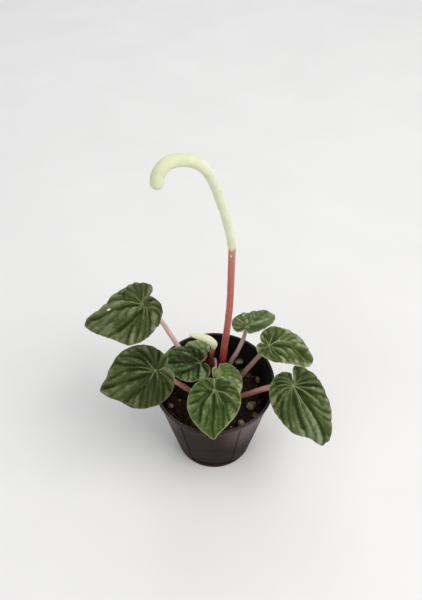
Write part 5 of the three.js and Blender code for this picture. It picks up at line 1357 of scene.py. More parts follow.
# ------------------------------------------------------------------ pot
def pot_mesh():
    z0, zt = 0.8, POT_H - RIM_BAND_H
    wall = lambda z: POT_R_BASE + (POT_R_TOP - POT_R_BASE) * (z - z0) / (zt - z0)
    prof = []                                  # radius, height, share of the panel step, which skin (1 outer, 0 lip, -1 inner)

    def arc(cx, cz, rad, a0, a1, n, skin=1):
        for a in np.linspace(a0, a1, n):
            prof.append((cx + rad * math.cos(a * DEG), cz + rad * math.sin(a * DEG), 0.0, skin))
    # foot: a small rounded edge
    prof.append((18.9, 0.0, 0.0, 1))
    arc(POT_R_BASE - 0.62, 0.55, 0.55, -90, -8, 6)
    for z in (1.2, 2.0, 3.0, 3.9):
        prof.append((wall(z), z, 0.0, 1))
    prof.append((wall(4.25), 4.25, 0.5, 1))
    for z in np.linspace(4.6, zt - 1.6, 20):
        prof.append((wall(z), z, 1.0, 1))
    prof.append((wall(zt - 1.15), zt - 1.15, 0.55, 1))
    prof.append((wall(zt - 0.7), zt - 0.7, 0.0, 1))
    prof.append((wall(zt - 0.15), zt - 0.15, 0.0, 1))
    prof.append((wall(zt) + 0.22, zt + 0.12, 0.0, 1))
    prof.append((POT_R_RIM - 0.50, zt + 0.42, 0.0, 1))
    for z, e in ((zt + 0.8, 0.36), (zt + 1.4, 0.27), (zt + 2.0, 0.18), (POT_H - 0.95, 0.08)):
        prof.append((POT_R_RIM - e, z, 0.0, 1))
    arc(POT_R_RIM - 0.52, POT_H - 0.5, 0.5, 5, 90, 6, 0)
    arc(POT_R_RIM - 0.95, POT_H - 0.42, 0.42, 90, 172, 5, 0)
    rin = POT_R_RIM - 1.40
    prof.append((rin, POT_H - 1.1, 0.0, -1))
    prof.append((rin - 0.06, zt + 0.5, 0.0, -1))
    prof.append((wall(zt) - POT_WALL + 0.05, zt - 0.5, 0.0, -1))
    for z in np.linspace(zt - 1.4, 2.6, 16):
        prof.append((wall(z) - POT_WALL, z, 0.0, -1))
    prof.append((wall(1.9) - POT_WALL - 0.25, 1.75, 0.0, -1))
    prof.append((wall(POT_FLOOR) - POT_WALL - 0.85, POT_FLOOR, 0.0, -1))
    prof = np.array(prof)
    angles = list(np.linspace(0, 360, 300, endpoint=False))
    edges = [PANEL_AT - 30 + 60 * p for p in range(6)]
    for e in edges:
        angles += [e + x for x in (-1.6, -1.1, -0.75, -0.5, -0.3, -0.12, 0.06, 0.24, 0.42, 0.65, 0.95, 1.4)]
    angles = np.unique(np.round(np.mod(np.array(angles), 360), 3))
    ok = np.r_[True, np.diff(angles) > 0.05]
    angles = angles[ok]
    m, n = len(angles), len(prof)
    rel = np.mod(angles - (PANEL_AT - 30), 360)
    which = np.floor(rel / 60).astype(int) % 6
    inpanel = rel - 60 * np.floor(rel / 60)
    deep = np.where(which % 2 == 0, smooth(inpanel, 0.05, 0.45) * (1 - smooth(inpanel, 59.55, 59.95)), 0)
    near = np.minimum.reduce([np.abs((angles - e + 180) % 360 - 180) for e in edges])
    cut = np.exp(-(near / 0.42) ** 2)                       # narrow score along each panel edge
    A = angles[:, None] * DEG
    R = np.repeat(prof[None, :, 0], m, 0) - PANEL_STEP * deep[:, None] * prof[None, :, 2] - 0.34 * cut[:, None] * prof[None, :, 2]
    Z = np.repeat(prof[None, :, 1], m, 0)
    # thin moulded plastic is never quite true
    P = np.stack([np.cos(A) * R, np.sin(A) * R, Z], 2).reshape(-1, 3)
    w = fbm(P / 17.0, 91, 2).reshape(m, n)
    w2 = fbm(np.stack([np.cos(A) * 1.4 + 0 * R, np.sin(A) * 1.4 + 0 * R, 0 * R + 3.3], 2).reshape(-1, 3), 92, 2).reshape(m, n)
    R = R + 0.10 * w * smooth(Z, 1, 12) - 0.10 * np.abs(w2) * smooth(Z, 30, 52)
    # a very small moulding line round the wall
    R = R + 0.035 * np.exp(-((Z - 47.1) / 0.16) ** 2) * (prof[None, :, 3] > 0)
    verts = np.stack([np.cos(A) * R, np.sin(A) * R, Z], 2).reshape(-1, 3)
    i, k = np.meshgrid(np.arange(m), np.arange(n - 1), indexing="ij")
    i, k = i.ravel(), k.ravel()
    i2 = (i + 1) % m
    quads = np.stack([i * n + k, i2 * n + k, i2 * n + k + 1, i * n + k + 1], 1)
    run = np.r_[0, np.cumsum(np.hypot(*np.diff(prof[:, :2], axis=0).T))]
    run = run / run[-1]
    turn = np.r_[angles, angles[0] + 360] / 360
    quv = np.stack([np.c_[turn[i], run[k]], np.c_[turn[i + 1], run[k]], np.c_[turn[i + 1], run[k + 1]], np.c_[turn[i], run[k + 1]]], 1)
    quv = quv * np.array([0.99, 0.66]) + np.array([0.005, 0.005])
    # base plate with its drain holes, below and above
    holes = [(DRAIN_RING * math.cos(math.pi / 4 + q * math.pi / 2), DRAIN_RING * math.sin(math.pi / 4 + q * math.pi / 2)) for q in range(DRAIN_HOLES)]
    hn = 32
    ha = 2 * math.pi * np.arange(hn) / hn
    parts, plate_uv, new = [], [], []
    hole_ids = {}
    for side, col in (("low", 0), ("top", n - 1)):
        rim_ids = np.arange(m) * n + col
        rim = verts[rim_ids]
        pts2 = [tuple(v[:2]) for v in rim]
        ids = list(rim_ids)
        zs = []
        rr0 = float(np.hypot(rim[0, 0], rim[0, 1]))

        def level(x, y):
            r = math.hypot(x, y)
            if side == "top":
                return POT_FLOOR
            z = 0.34 * float(smooth(np.array([18.2 - r]), 0.0, 0.7)[0])          # foot ring stands proud
            z -= 0.20 * math.exp(-((r - 7.4) / 0.45) ** 2)                        # moulded ring
            z += 0.12 * math.exp(-(r / 0.9) ** 4)                                 # gate mark
            return max(z, 0.0)
        extra = []
        for hx, hy in holes:
            for a in ha:
                extra.append((hx + DRAIN_R * math.cos(a), hy + DRAIN_R * math.sin(a)))
        nh = len(extra)
        for ring, cnt in ((18.35, 150), (17.9, 150), (17.45, 140), (16.6, 110), (8.3, 72), (7.8, 72), (7.4, 72), (7.0, 72), (6.4, 60), (4.6, 40), (2.8, 26), (1.5, 18), (0.9, 14), (0.5, 8)):
            if ring > rr0 - 0.25:
                continue
            for q in range(cnt):
                a = 2 * math.pi * (q + 0.5 * (cnt % 4)) / cnt
                x, y = ring * math.cos(a), ring * math.sin(a)
                if all(math.hypot(x - hx, y - hy) > DRAIN_R + 0.25 for hx, hy in holes):
                    extra.append((x, y))
        extra.append((0.0, 0.0))
        base = len(verts) + len(new)
        for x, y in extra:
            new.append((x, y, level(x, y)))
        ids += [base + q for q in range(len(extra))]
        hole_ids[side] = base
        pts2 += extra
        loops = [(q, (q + 1) % m) for q in range(m)]
        for h in range(len(holes)):
            s = m + h * hn
            loops += [(s + q, s + (q + 1) % hn) for q in range(hn)]
        ov, _, of_, orig, _, _ = delaunay_2d_cdt([Vector(p) for p in pts2], loops, [], 1, 1e-6, True)
        back = [ids[o[0]] for o in orig]
        co = np.array([[v.x, v.y] for v in ov])
        tri = np.array([f for f in of_ if len(f) == 3], int)
        mid = co[tri].mean(1)
        good = np.ones(len(tri), bool)
        own = np.array(back)[tri] - base
        ring_of = np.where((own >= 0) & (own < nh), own // hn, -1)
        good = ~((ring_of[:, 0] >= 0) & (ring_of[:, 0] == ring_of[:, 1]) & (ring_of[:, 1] == ring_of[:, 2]))
        for hx, hy in holes:
            good &= np.hypot(mid[:, 0] - hx, mid[:, 1] - hy) > DRAIN_R * 0.9
        tri = tri[good]
        t3 = np.array(back)[tri]
        cc = co[tri]
        area = (cc[:, 1, 0] - cc[:, 0, 0]) * (cc[:, 2, 1] - cc[:, 0, 1]) - (cc[:, 1, 1] - cc[:, 0, 1]) * (cc[:, 2, 0] - cc[:, 0, 0])
        want = -1 if side == "low" else 1
        turned = area * want < 0
        t3[turned] = t3[turned][:, ::-1]
        cc[turned] = cc[turned][:, ::-1]
        parts.append(t3)
        shift = np.array([0.16, 0.835]) if side == "low" else np.array([0.50, 0.835])
        plate_uv.append(cc / 20.0 * 0.155 + shift)
    verts = np.vstack([verts, np.array(new)])
    walls, wuv = [], []
    for h in range(len(holes)):
        a = hole_ids["low"] + h * hn + np.arange(hn)
        b = hole_ids["low"] + h * hn + (np.arange(hn) + 1) % hn
        c = hole_ids["top"] + h * hn + (np.arange(hn) + 1) % hn
        d = hole_ids["top"] + h * hn + np.arange(hn)
        walls.append(np.stack([a, d, c, b], 1))
        x = np.arange(hn) / hn
        x2 = x + 1 / hn
        y0, y1 = 0.70 + 0.05 * h, 0.74 + 0.05 * h
        wuv.append(np.stack([np.c_[0.7 + 0.28 * x, x * 0 + y0], np.c_[0.7 + 0.28 * x, x * 0 + y1], np.c_[0.7 + 0.28 * x2, x * 0 + y1], np.c_[0.7 + 0.28 * x2, x * 0 + y0]], 1))
    faces = [quads] + parts + walls
    skin = np.r_[np.tile(prof[:, 3], m), np.full(len(new), 1.0)]
    groove = np.r_[(cut[:, None] * prof[None, :, 2]).ravel(), np.zeros(len(new))]
    lip = np.r_[np.tile(np.exp(-((prof[:, 1] - POT_H) / 0.35) ** 2), m), np.zeros(len(new))]
    return make_mesh("nursery_pot", verts, faces, uvs=[quv] + plate_uv + wuv, sharp=38,
                     attrs={"skin": skin, "groove": groove, "lip": lip, "height": verts[:, 2] / POT_H}, outward=False)


def pot_material():
    k = Mat("pot_plastic")
    skin, groove, lip, hgt = (k.attr(x) for x in ("skin", "groove", "lip", "height"))
    cloud = k.noise(9.0, 4, 0.6)
    fine = k.noise(0.6, 4, 0.6)
    outer = k.ramp(cloud, [(0.3, lin(28, 17, 16)), (0.55, lin(35, 23, 21)), (0.75, lin(43, 31, 28))])
    # inside greyer and a little paler than the outside: partly painted light, making up for the shade inside the pot
    inner = k.ramp(cloud, [(0.3, lin(33, 31, 31)), (0.75, lin(47, 44, 43))])
    col = k.mix(k.map(skin, -0.6, 0.4), inner, outer)
    # handling marks: long fine scratches, mostly level, and rubbed dusty patches
    scr = k.t.nodes.new("ShaderNodeTexNoise")
    k.put(scr.inputs["Vector"], k.coords((0.10, 0.10, 1.0), (0.10, 0.04, 0)))
    scr.inputs["Scale"].default_value = 5200
    scr.inputs["Detail"].default_value = 3
    marks = k.math("MULTIPLY", k.map(scr.outputs["Fac"], 0.66, 0.76), k.map(cloud, 0.40, 0.62))
    dust = k.math("MULTIPLY", k.map(k.noise(4.2, 5, 0.68), 0.52, 0.74), k.map(skin, -0.2, 0.8))
    # painted sheen: the upper wall painted paler towards the rim
    upper_sheen = k.math("MULTIPLY", k.map(hgt, 0.45, 1.0), k.map(cloud, 0.35, 0.65, 0.35, 0.65))
    col = k.mix(k.math("MULTIPLY", upper_sheen, k.map(skin, -0.2, 0.8, 0, 0.16)), col, lin(98, 86, 82))
    # painted sheen: paler patches on the two sides near the rim, a painted reflection of the bright surroundings
    xyz = k.t.nodes.new("ShaderNodeSeparateXYZ")
    k.put(xyz.inputs[0], k.obj)
    one = k.math("MULTIPLY", k.map(xyz.outputs[0], 0.000, 0.018), k.map(hgt, 0.30, 0.90))
    other = k.math("MULTIPLY", k.map(xyz.outputs[0], -0.0140, -0.0250), k.map(hgt, 0.50, 1.0, 0.0, 0.9))
    sides = k.math("MULTIPLY", k.math("MAXIMUM", one, other), k.map(xyz.outputs[1], 0.018, -0.008))
    side_sheen = k.math("MULTIPLY", sides, k.map(cloud, 0.3, 0.7, 0.86, 1.0))
    col = k.mix(k.math("MULTIPLY", side_sheen, k.map(skin, -0.2, 0.8, 0, 0.54)), col, lin(142, 130, 124))
    col = k.mix(k.math("MULTIPLY", dust, 0.09), col, lin(112, 98, 92))
    col = k.mix(k.math("MULTIPLY", marks, 0.35), col, lin(128, 118, 112))
    # edge of the rim is rubbed a little paler
    col = k.mix(k.math("MULTIPLY", lip, k.map(fine, 0.35, 0.7, 0.15, 0.5)), col, lin(104, 96, 94))
    specks = k.math("MULTIPLY", k.map(k.cells(2.6, "F1"), 0.08, 0.045), k.map(skin, -0.2, 0.8))
    col = k.mix(k.math("MULTIPLY", specks, 0.32), col, lin(150, 132, 112))
    # painted shade: the narrow scores along the panel edges darkened
    col = k.mix(k.math("MULTIPLY", groove, 0.75), col, lin(14, 12, 13))
    rough = k.math("ADD", k.map(cloud, 0.3, 0.7, 0.34, 0.46), k.math("MULTIPLY", dust, 0.22))
    rough = k.math("ADD", rough, k.math("MULTIPLY", marks, 0.12))
    nrm = k.bump(fine, 0.16, 0.05)
    nrm = k.bump(scr.outputs["Fac"], 0.10, 0.03, nrm)
    nrm = k.bump(cloud, 0.22, 0.5, nrm)
    k.set(Base_Color=col, Roughness=rough, Normal=nrm)
    k.b.inputs["Specular IOR Level"].default_value = 0.022
    k.b.inputs["Specular Tint"].default_value = (1.0, 0.86, 0.80, 1.0)
    return k.m


piece("nursery_pot", pot_mesh(), pot_material(), ["pot"])


# ------------------------------------------------------------------ soil
def inner_wall(z):
    return POT_R_BASE + (POT_R_TOP - POT_R_BASE) * (z - 0.8) / (POT_H - RIM_BAND_H - 0.8) - POT_WALL


def soil_level(x, y):
    r = np.hypot(x, y)
    fade = np.clip((r - SOIL_FLAT_R) / 5, 0, 1)
    base = SOIL_TOP + fade * SOIL_BUMP * (0.6 * np.sin(0.55 * x + 1.3) * np.cos(0.47 * y + 0.4) + 0.4 * np.sin(0.9 * (x - y) + 2))
    return base - 0.9 * smooth(r, 23.6, 25.6)


def soil_body():
    m = 220
    top_r = list(np.linspace(0.35, 24.6, 56))
    rows = []
    A = 2 * math.pi * np.arange(m) / m
    for r in top_r:
        x, y = r * np.cos(A), r * np.sin(A)
        p = np.stack([x, y, x * 0], 1)
        f1, _, ident = worley(p / 1.25, 301)
        lump = 0.55 * np.sqrt(np.clip(1 - (f1 / 0.75) ** 2, 0, 1)) * (0.5 + ident) + 0.35 * fbm(p / 0.9, 302, 3) + 0.4 * fbm(p / 4.0, 303, 2)
        rows.append(np.stack([x, y, soil_level(x, y) + lump - 0.35], 1))
    for z, inset in ((34.6, 0.34), (33.0, 0.34), (24, 0.34), (14, 0.34), (6, 0.36), (3.2, 0.4), (2.1, 1.2), (1.75, 2.2)):
        r = inner_wall(z) - inset
        q = np.stack([np.cos(A) * r, np.sin(A) * r, np.full(m, z)], 1)
        d = 0.16 * fbm(q / 1.1, 304, 3)
        rows.append(np.stack([np.cos(A) * (r - np.abs(d)), np.sin(A) * (r - np.abs(d)), np.full(m, z)], 1))
    for r in (14, 8, 3):
        q = np.stack([np.cos(A) * r, np.sin(A) * r, np.full(m, 1.75)], 1)
        rows.append(np.stack([np.cos(A) * r, np.sin(A) * r, 1.78 + 0.12 * np.abs(fbm(q / 1.2, 305, 2))], 1))
    R = len(rows)
    verts = np.vstack(rows + [np.array([[0, 0, float(soil_level(np.zeros(1), np.zeros(1))[0])]]), np.array([[0, 0, 1.8]])])
    f, _ = ring_faces(R, m)
    k = np.arange(m)
    k2 = (k + 1) % m
    cap0 = np.stack([np.full(m, R * m), k2, k], 1)
    cap1 = np.stack([np.full(m, R * m + 1), (R - 1) * m + k, (R - 1) * m + k2], 1)
    return make_mesh("soil_body", verts, [f, cap0, cap1])


def soil_material(name, stops, dusty):
    k = Mat(name)
    tone = k.attr("tone")
    n = k.noise(0.9, 5, 0.65)
    v = k.math("ADD", tone, k.math("MULTIPLY", k.math("SUBTRACT", n, 0.5), 0.35), clamp=True)
    col = k.ramp(v, [(p, lin(*c)) for p, c in stops])
    col = k.mix(k.map(k.noise(0.28, 3, 0.6), 0.50, 0.74, 0, dusty), col, lin(118, 96, 74))
    nrm = k.bump(k.noise(0.45, 5, 0.7), 0.55, 0.16)
    nrm = k.bump(k.cells(0.32, "F1"), 0.35, 0.08, nrm)
    k.set(Base_Color=col, Roughness=k.map(n, 0.3, 0.7, 0.72, 0.96), Normal=nrm)
    k.b.inputs["Specular IOR Level"].default_value = 0.25
    return k.m


PEAT = [(0.0, (28, 19, 14)), (0.35, (52, 36, 27)), (0.65, (70, 49, 36)), (0.88, (94, 67, 48)), (1.0, (120, 90, 64))]
MIXED = [(0.0, (30, 20, 14)), (0.22, (58, 38, 26)), (0.42, (88, 54, 38)), (0.60, (74, 66, 44)), (0.78, (112, 88, 62)), (1.0, (150, 122, 92))]
GRIT = [(0.0, (104, 88, 66)), (0.4, (150, 130, 102)), (0.75, (178, 160, 132)), (1.0, (208, 196, 172))]

_me = soil_body()
_co = np.zeros(len(_me.vertices) * 3, np.float32)
_me.vertices.foreach_get("co", _co)
_co = _co.reshape(-1, 3) / MM
_me.attributes.new("tone", "FLOAT", "POINT").data.foreach_set(
    "value", (0.30 + 0.25 * fbm(_co / 1.6, 310, 3)).astype(np.float32))
piece("soil_body", _me, soil_material("soil_body_peat", PEAT, 0.12), ["soil"])


def icosphere(level):
    t = (1 + 5**0.5) / 2
    v = [(-1, t, 0), (1, t, 0), (-1, -t, 0), (1, -t, 0), (0, -1, t), (0, 1, t), (0, -1, -t), (0, 1, -t), (t, 0, -1), (t, 0, 1), (-t, 0, -1), (-t, 0, 1)]
    f = [(0, 11, 5), (0, 5, 1), (0, 1, 7), (0, 7, 10), (0, 10, 11), (1, 5, 9), (5, 11, 4), (11, 10, 2), (10, 7, 6), (7, 1, 8),
         (3, 9, 4), (3, 4, 2), (3, 2, 6), (3, 6, 8), (3, 8, 9), (4, 9, 5), (2, 4, 11), (6, 2, 10), (8, 6, 7), (9, 8, 1)]
    v = [np.array(x) / np.linalg.norm(x) for x in v]
    for _ in range(level):
        mid, g = {}, []

        def half(a, b):
            key = (min(a, b), max(a, b))
            if key not in mid:
                p = v[a] + v[b]
                v.append(p / np.linalg.norm(p))
                mid[key] = len(v) - 1
            return mid[key]
        for a, b, c in f:
            x, y, z = half(a, b), half(b, c), half(c, a)
            g += [(a, x, z), (b, y, x), (c, z, y), (x, y, z)]
        f = g
    return np.array(v), np.array(f)


ICO = {n: icosphere(n) for n in (1, 2, 3)}


def crumb_shapes(level, count, seed, angular):
    """Different lumps of soil: knobbly, or broken with flat faces."""
    base, tri = ICO[level]
    out = []
    for i in range(count):
        r = np.random.default_rng(seed + i)
        n = fbm(base * 1.3 + i * 9.1, seed + i, 3)
        p = base * (1 + 0.42 * n)[:, None]
        for _ in range(angular):                      # chop by random planes
            d = r.normal(size=3)
            d /= np.linalg.norm(d)
            h = r.uniform(0.42, 0.8)
            over = np.maximum(p @ d - h, 0)
            p = p - over[:, None] * d * 0.92
        p = p * r.uniform(0.6, 1.15, 3)
        p -= p.mean(0)
        out.append(p)
    return out, tri


def scatter(name, count, seed, size, level, angular, material, tone, radius=25.2, sink=0.35, keep=None, stretch=1.0):
    """Many separate grains on the soil as one mesh."""
    r = np.random.default_rng(seed)
    shapes, tri = crumb_shapes(level, 16, seed * 7 + 1, angular)
    V, F, T = [], [], []
    at = 0
    for i in range(count):
        for _ in range(12):
            rad = radius * math.sqrt(r.uniform(0.0, 1))
            a = r.uniform(0, 2 * math.pi)
            x, y = rad * math.cos(a), rad * math.sin(a)
            if keep is None or keep(x, y):
                break
        s = float(np.clip(size[0] * math.exp(r.normal(0, size[2])), size[0] * 0.45, size[1]))
        q = r.normal(size=4)
        q /= np.linalg.norm(q)
        w, a1, b1, c1 = q
        M = np.array([[1 - 2 * (b1 * b1 + c1 * c1), 2 * (a1 * b1 - c1 * w), 2 * (a1 * c1 + b1 * w)],
                      [2 * (a1 * b1 + c1 * w), 1 - 2 * (a1 * a1 + c1 * c1), 2 * (b1 * c1 - a1 * w)],
                      [2 * (a1 * c1 - b1 * w), 2 * (b1 * c1 + a1 * w), 1 - 2 * (a1 * a1 + b1 * b1)]])
        p = shapes[int(r.integers(16))] * np.array([stretch, 1, 1]) @ M.T * s
        lim = inner_wall(36.5) - 0.35
        p[:, 2] *= 0.82
        far = math.hypot(x, y) + s
        if far > lim:
            k = (lim - s) / max(math.hypot(x, y), 1e-6)
            x, y = x * k, y * k
        z = float(soil_level(np.array([x]), np.array([y]))[0]) + s * (1 - sink) * 0.55 + r.uniform(-0.1, 0.25)
        V.append(p + np.array([x, y, z]))
        F.append(tri + at)
        T.append(np.full(len(p), np.clip(r.normal(tone[0], tone[1]), 0, 1)))
        at += len(p)
    me = make_mesh(name, np.vstack(V), [np.vstack(F)], attrs={"tone": np.concatenate(T)})
    return piece(name, me, material, None)


_crown_clear = lambda x, y: math.hypot(x, y) > 3.6
# how far three of the lumps have settled from their simple places, mm
for _name, _by in (("pumice_1", (0.6, 0.6, 0.9)), ("pumice_2", (1.3, -0.2, 0.3)), ("pumice_3", (0.6, 0.0, 0.0))):
    PUMICE[_name]["at"] = [a + b for a, b in zip(PUMICE[_name]["at"], _by)]
PUMICE["pumice_1"]["half"] = [a * 1.14 for a in PUMICE["pumice_1"]["half"]]
_lumps = [(p["at"][0], p["at"][1], max(p["half"][:2])) for p in PUMICE.values()]
_off_lumps = lambda x, y: _crown_clear(x, y) and all(math.hypot(x - a, y - b) > c * 0.9 for a, b, c in _lumps)
scatter("soil_crumbs_fine", 1200, 401, (0.46, 0.95, 0.35), 1, 1, soil_material("crumb_peat", PEAT, 0.10), (0.40, 0.24), keep=_off_lumps)
scatter("soil_crumbs", 230, 402, (0.95, 1.75, 0.28), 2, 3, soil_material("crumb_mixed", MIXED, 0.22), (0.22, 0.22), keep=_off_lumps)
scatter("soil_grit", 120, 403, (0.42, 1.0, 0.40), 2, 4, soil_material("grit_tan", GRIT, 0.35), (0.40, 0.25), sink=0.1, keep=_off_lumps)


def fibres():
    """Short hair-fine roots and coir threads lying in the mix."""
    r = np.random.default_rng(431)
    V, F = [], []
    at, sides = 0, 6
    T = []
    for i in range(60):
        rad, a = 23.0 * math.sqrt(r.uniform(0.03, 1)), r.uniform(0, 2 * math.pi)
        x, y = rad * math.cos(a), rad * math.sin(a)
        d, length, w = r.uniform(0, 2 * math.pi), r.uniform(2.0, 6.0), r.uniform(0.05, 0.10)
        n = 12
        pts = []
        for j in range(n):
            d += r.normal(0, 0.22)
            x += math.cos(d) * length / n
            y += math.sin(d) * length / n
            if math.hypot(x, y) > 25.0:
                break
            pts.append((x, y, float(soil_level(np.array([x]), np.array([y]))[0]) + 0.55 + 0.35 * math.sin(j * 0.8 + i)))
        if len(pts) < 5:
            continue
        verts, faces, _, _ = tube(pts, [w, w, w * 0.5], step=0.35, sides=sides)
        V.append(verts)
        F.append([f + at for f in faces])
        T.append(np.full(len(verts), r.uniform(0.1, 0.9)))
        at += len(verts)
    quads = np.vstack([f[0] for f in F])
    tris = np.vstack([g for f in F for g in f[1:]])
    me = make_mesh("soil_fibres", np.vstack(V), [quads, tris], attrs={"tone": np.concatenate(T)})
    return piece("soil_fibres", me, soil_material("fibre_coir", [(0.0, (52, 34, 22)), (0.6, (98, 68, 44)), (1.0, (142, 112, 78))], 0.1), None)


fibres()


# ------------------------------------------------------------------ stones and bark on the soil
def cube_sphere(n):
    """Unit sphere from a subdivided cube, as shared vertices and quads."""
    g = np.tan(np.linspace(-math.pi / 4, math.pi / 4, n + 1))
    verts, quads, index = [], [], {}

    def vid(p):
        key = tuple(int(round(x * 1e5)) for x in p)
        if key not in index:
            index[key] = len(verts)
            verts.append(np.array(p) / np.linalg.norm(p))
        return index[key]
    for axis in range(3):
        for sign in (-1, 1):
            for i in range(n):
                for j in range(n):
                    c = []
                    for a, b in ((g[i], g[j]), (g[i + 1], g[j]), (g[i + 1], g[j + 1]), (g[i], g[j + 1])):
                        p = [0.0, 0.0, 0.0]
                        p[axis], p[(axis + 1) % 3], p[(axis + 2) % 3] = sign, a * sign, b
                        c.append(vid(p))
                    quads.append(c)
    return np.array(verts), np.array(quads)


CUBE = cube_sphere(26)


def pumice_mesh(name, at, half, seed):
    base, quads = CUBE
    r = np.random.default_rng(seed * 37)
    p = base * (1 + 0.24 * fbm(base * 1.7 + seed * 5.3, seed, 3))[:, None]
    for _ in range(9):
        d = r.normal(size=3)
        d /= np.linalg.norm(d)
        over = np.maximum(p @ d - r.uniform(0.56, 0.82), 0)
        p = p - over[:, None] * d * 0.9
    p = p * np.array(half) * 1.09
    f1, f2, ident = worley(p / 0.55 + seed, seed + 3)
    pore = np.clip(1 - f1 / 0.42, 0, 1) ** 1.5 * (ident > 0.35)
    f1b, _, idb = worley(p / 0.24 + seed, seed + 5)
    pore2 = np.clip(1 - f1b / 0.40, 0, 1) ** 1.5 * (idb > 0.4)
    n = base / np.linalg.norm(base, axis=1)[:, None]
    rough = 0.15 * fbm(p / 0.7, seed + 8, 4)
    p = p + n * (rough - 0.28 * pore - 0.11 * pore2)[:, None]
    return make_mesh(name, p + np.array(at), [quads], attrs={"pore": np.clip(pore + 0.6 * pore2, 0, 1), "tone": 0.5 + 0.5 * fbm(p / 1.8, seed + 12, 3)})


def pumice_material(name, stops):
    k = Mat(name)
    pore, tone = k.attr("pore"), k.attr("tone")
    n = k.noise(0.7, 5, 0.65)
    col = k.ramp(k.math("ADD", k.math("MULTIPLY", tone, 0.6), k.math("MULTIPLY", n, 0.4)), [(p, lin(*c)) for p, c in stops])
    # painted shade: darker in the pores
    col = k.mix(k.math("MULTIPLY", pore, 0.85), col, lin(58, 42, 32))
    col = k.mix(k.map(k.noise(1.6, 3, 0.6), 0.48, 0.62, 0, 0.62), col, lin(92, 66, 48))
    nrm = k.bump(k.noise(0.25, 4, 0.7), 0.5, 0.08)
    nrm = k.bump(k.cells(0.2, "F1"), 0.4, 0.05, nrm)
    k.set(Base_Color=col, Roughness=k.map(n, 0.3, 0.7, 0.80, 0.98), Normal=nrm)
    k.b.inputs["Specular IOR Level"].default_value = 0.2
    return k.m


# the tan stones are set paler partly as painted light, making up for the shade inside the pot
_tan = pumice_material("pumice_tan", [(0.30, (148, 125, 98)), (0.5, (196, 172, 141)), (0.72, (226, 208, 180))])
_dull = pumice_material("pumice_dull", [(0.30, (122, 101, 82)), (0.5, (165, 141, 118)), (0.72, (196, 175, 150))])
for _name, _p in PUMICE.items():
    piece(_name + "_stone", pumice_mesh(_name + "_stone", _p["at"], _p["half"], _p["seed"]),
          _tan if _name in ("pumice_1", "pumice_3", "pumice_5") else _dull, [_name])


def bark_mesh(name, spec, seed):
    base, quads = CUBE
    o = np.array(spec["outline"], float)
    mid, ext = (o.max(0) + o.min(0)) / 2, (o.max(0) - o.min(0)) / 2
    p = np.sign(base) * np.abs(base) ** 0.45
    ang = np.arctan2(base[:, 1], base[:, 0])
    oa = np.arctan2((o[:, 1] - mid[1]) / ext[1], (o[:, 0] - mid[0]) / ext[0])
    orad = np.hypot((o[:, 1] - mid[1]) / ext[1], (o[:, 0] - mid[0]) / ext[0])
    order = np.argsort(oa)
    oa, orad = oa[order], orad[order]
    k = np.interp(ang, np.r_[oa[-1] - 2 * math.pi, oa, oa[0] + 2 * math.pi], np.r_[orad[-1], orad, orad[0]])
    flat = np.hypot(p[:, 0], p[:, 1])
    xy = p[:, :2] / np.maximum(flat, 1e-6)[:, None] * (np.minimum(flat, 1.15) * k * 0.92)[:, None] * ext + mid
    z = p[:, 2] * spec["thick"] * 0.5
    q = np.c_[xy, z]
    grain = fbm(np.c_[q[:, 0] / 2.6, q[:, 1] / 0.34, q[:, 2] / 0.5] + seed, seed, 3)
    layer = np.floor((z / spec["thick"] + 0.5 + 0.12 * fbm(q / 1.1, seed + 2, 2)) * 4) / 4
    q = q + base * (0.16 * grain)[:, None]
    q[:, :2] = mid + (q[:, :2] - mid) * (0.93 + 0.10 * layer + 0.05 * fbm(q / 0.8, seed + 4, 2))[:, None]
    tl, tn = spec["tilt"] * DEG, spec["turn"] * DEG
    q[:, 2] += spec["thick"] / 2
    X = np.array([[1, 0, 0], [0, math.cos(tl), -math.sin(tl)], [0, math.sin(tl), math.cos(tl)]])
    Z = np.array([[math.cos(tn), -math.sin(tn), 0], [math.sin(tn), math.cos(tn), 0], [0, 0, 1]])
    w = q @ X.T @ Z.T + np.array(spec["at"])
    w[:, 2] -= 0.35
    return make_mesh(name, w, [quads], attrs={"tone": np.clip(0.5 + 0.6 * grain, 0, 1), "along": q[:, 0], "across": q[:, 1]})


def bark_material():
    k = Mat("bark_chip")
    tone = k.attr("tone")
    n = k.noise(1.0, 5, 0.65)
    col = k.ramp(k.math("ADD", k.math("MULTIPLY", tone, 0.65), k.math("MULTIPLY", n, 0.35)),
                 [(0.2, lin(40, 30, 20)), (0.45, lin(74, 62, 40)), (0.65, lin(98, 84, 56)), (0.85, lin(124, 104, 74))])
    col = k.mix(k.map(k.noise(2.2, 3), 0.50, 0.66, 0, 0.5), col, lin(66, 74, 40))
    nrm = k.bump(k.noise(0.4, 5, 0.7), 0.5, 0.12)
    k.set(Base_Color=col, Roughness=k.map(n, 0.3, 0.7, 0.70, 0.92), Normal=nrm)
    k.b.inputs["Specular IOR Level"].default_value = 0.25
    return k.m


_bark = bark_material()
for _i, (_name, _b) in enumerate(BARK.items()):
    piece(_name + "_chip", bark_mesh(_name + "_chip", _b, 501 + _i), _bark, [_name])


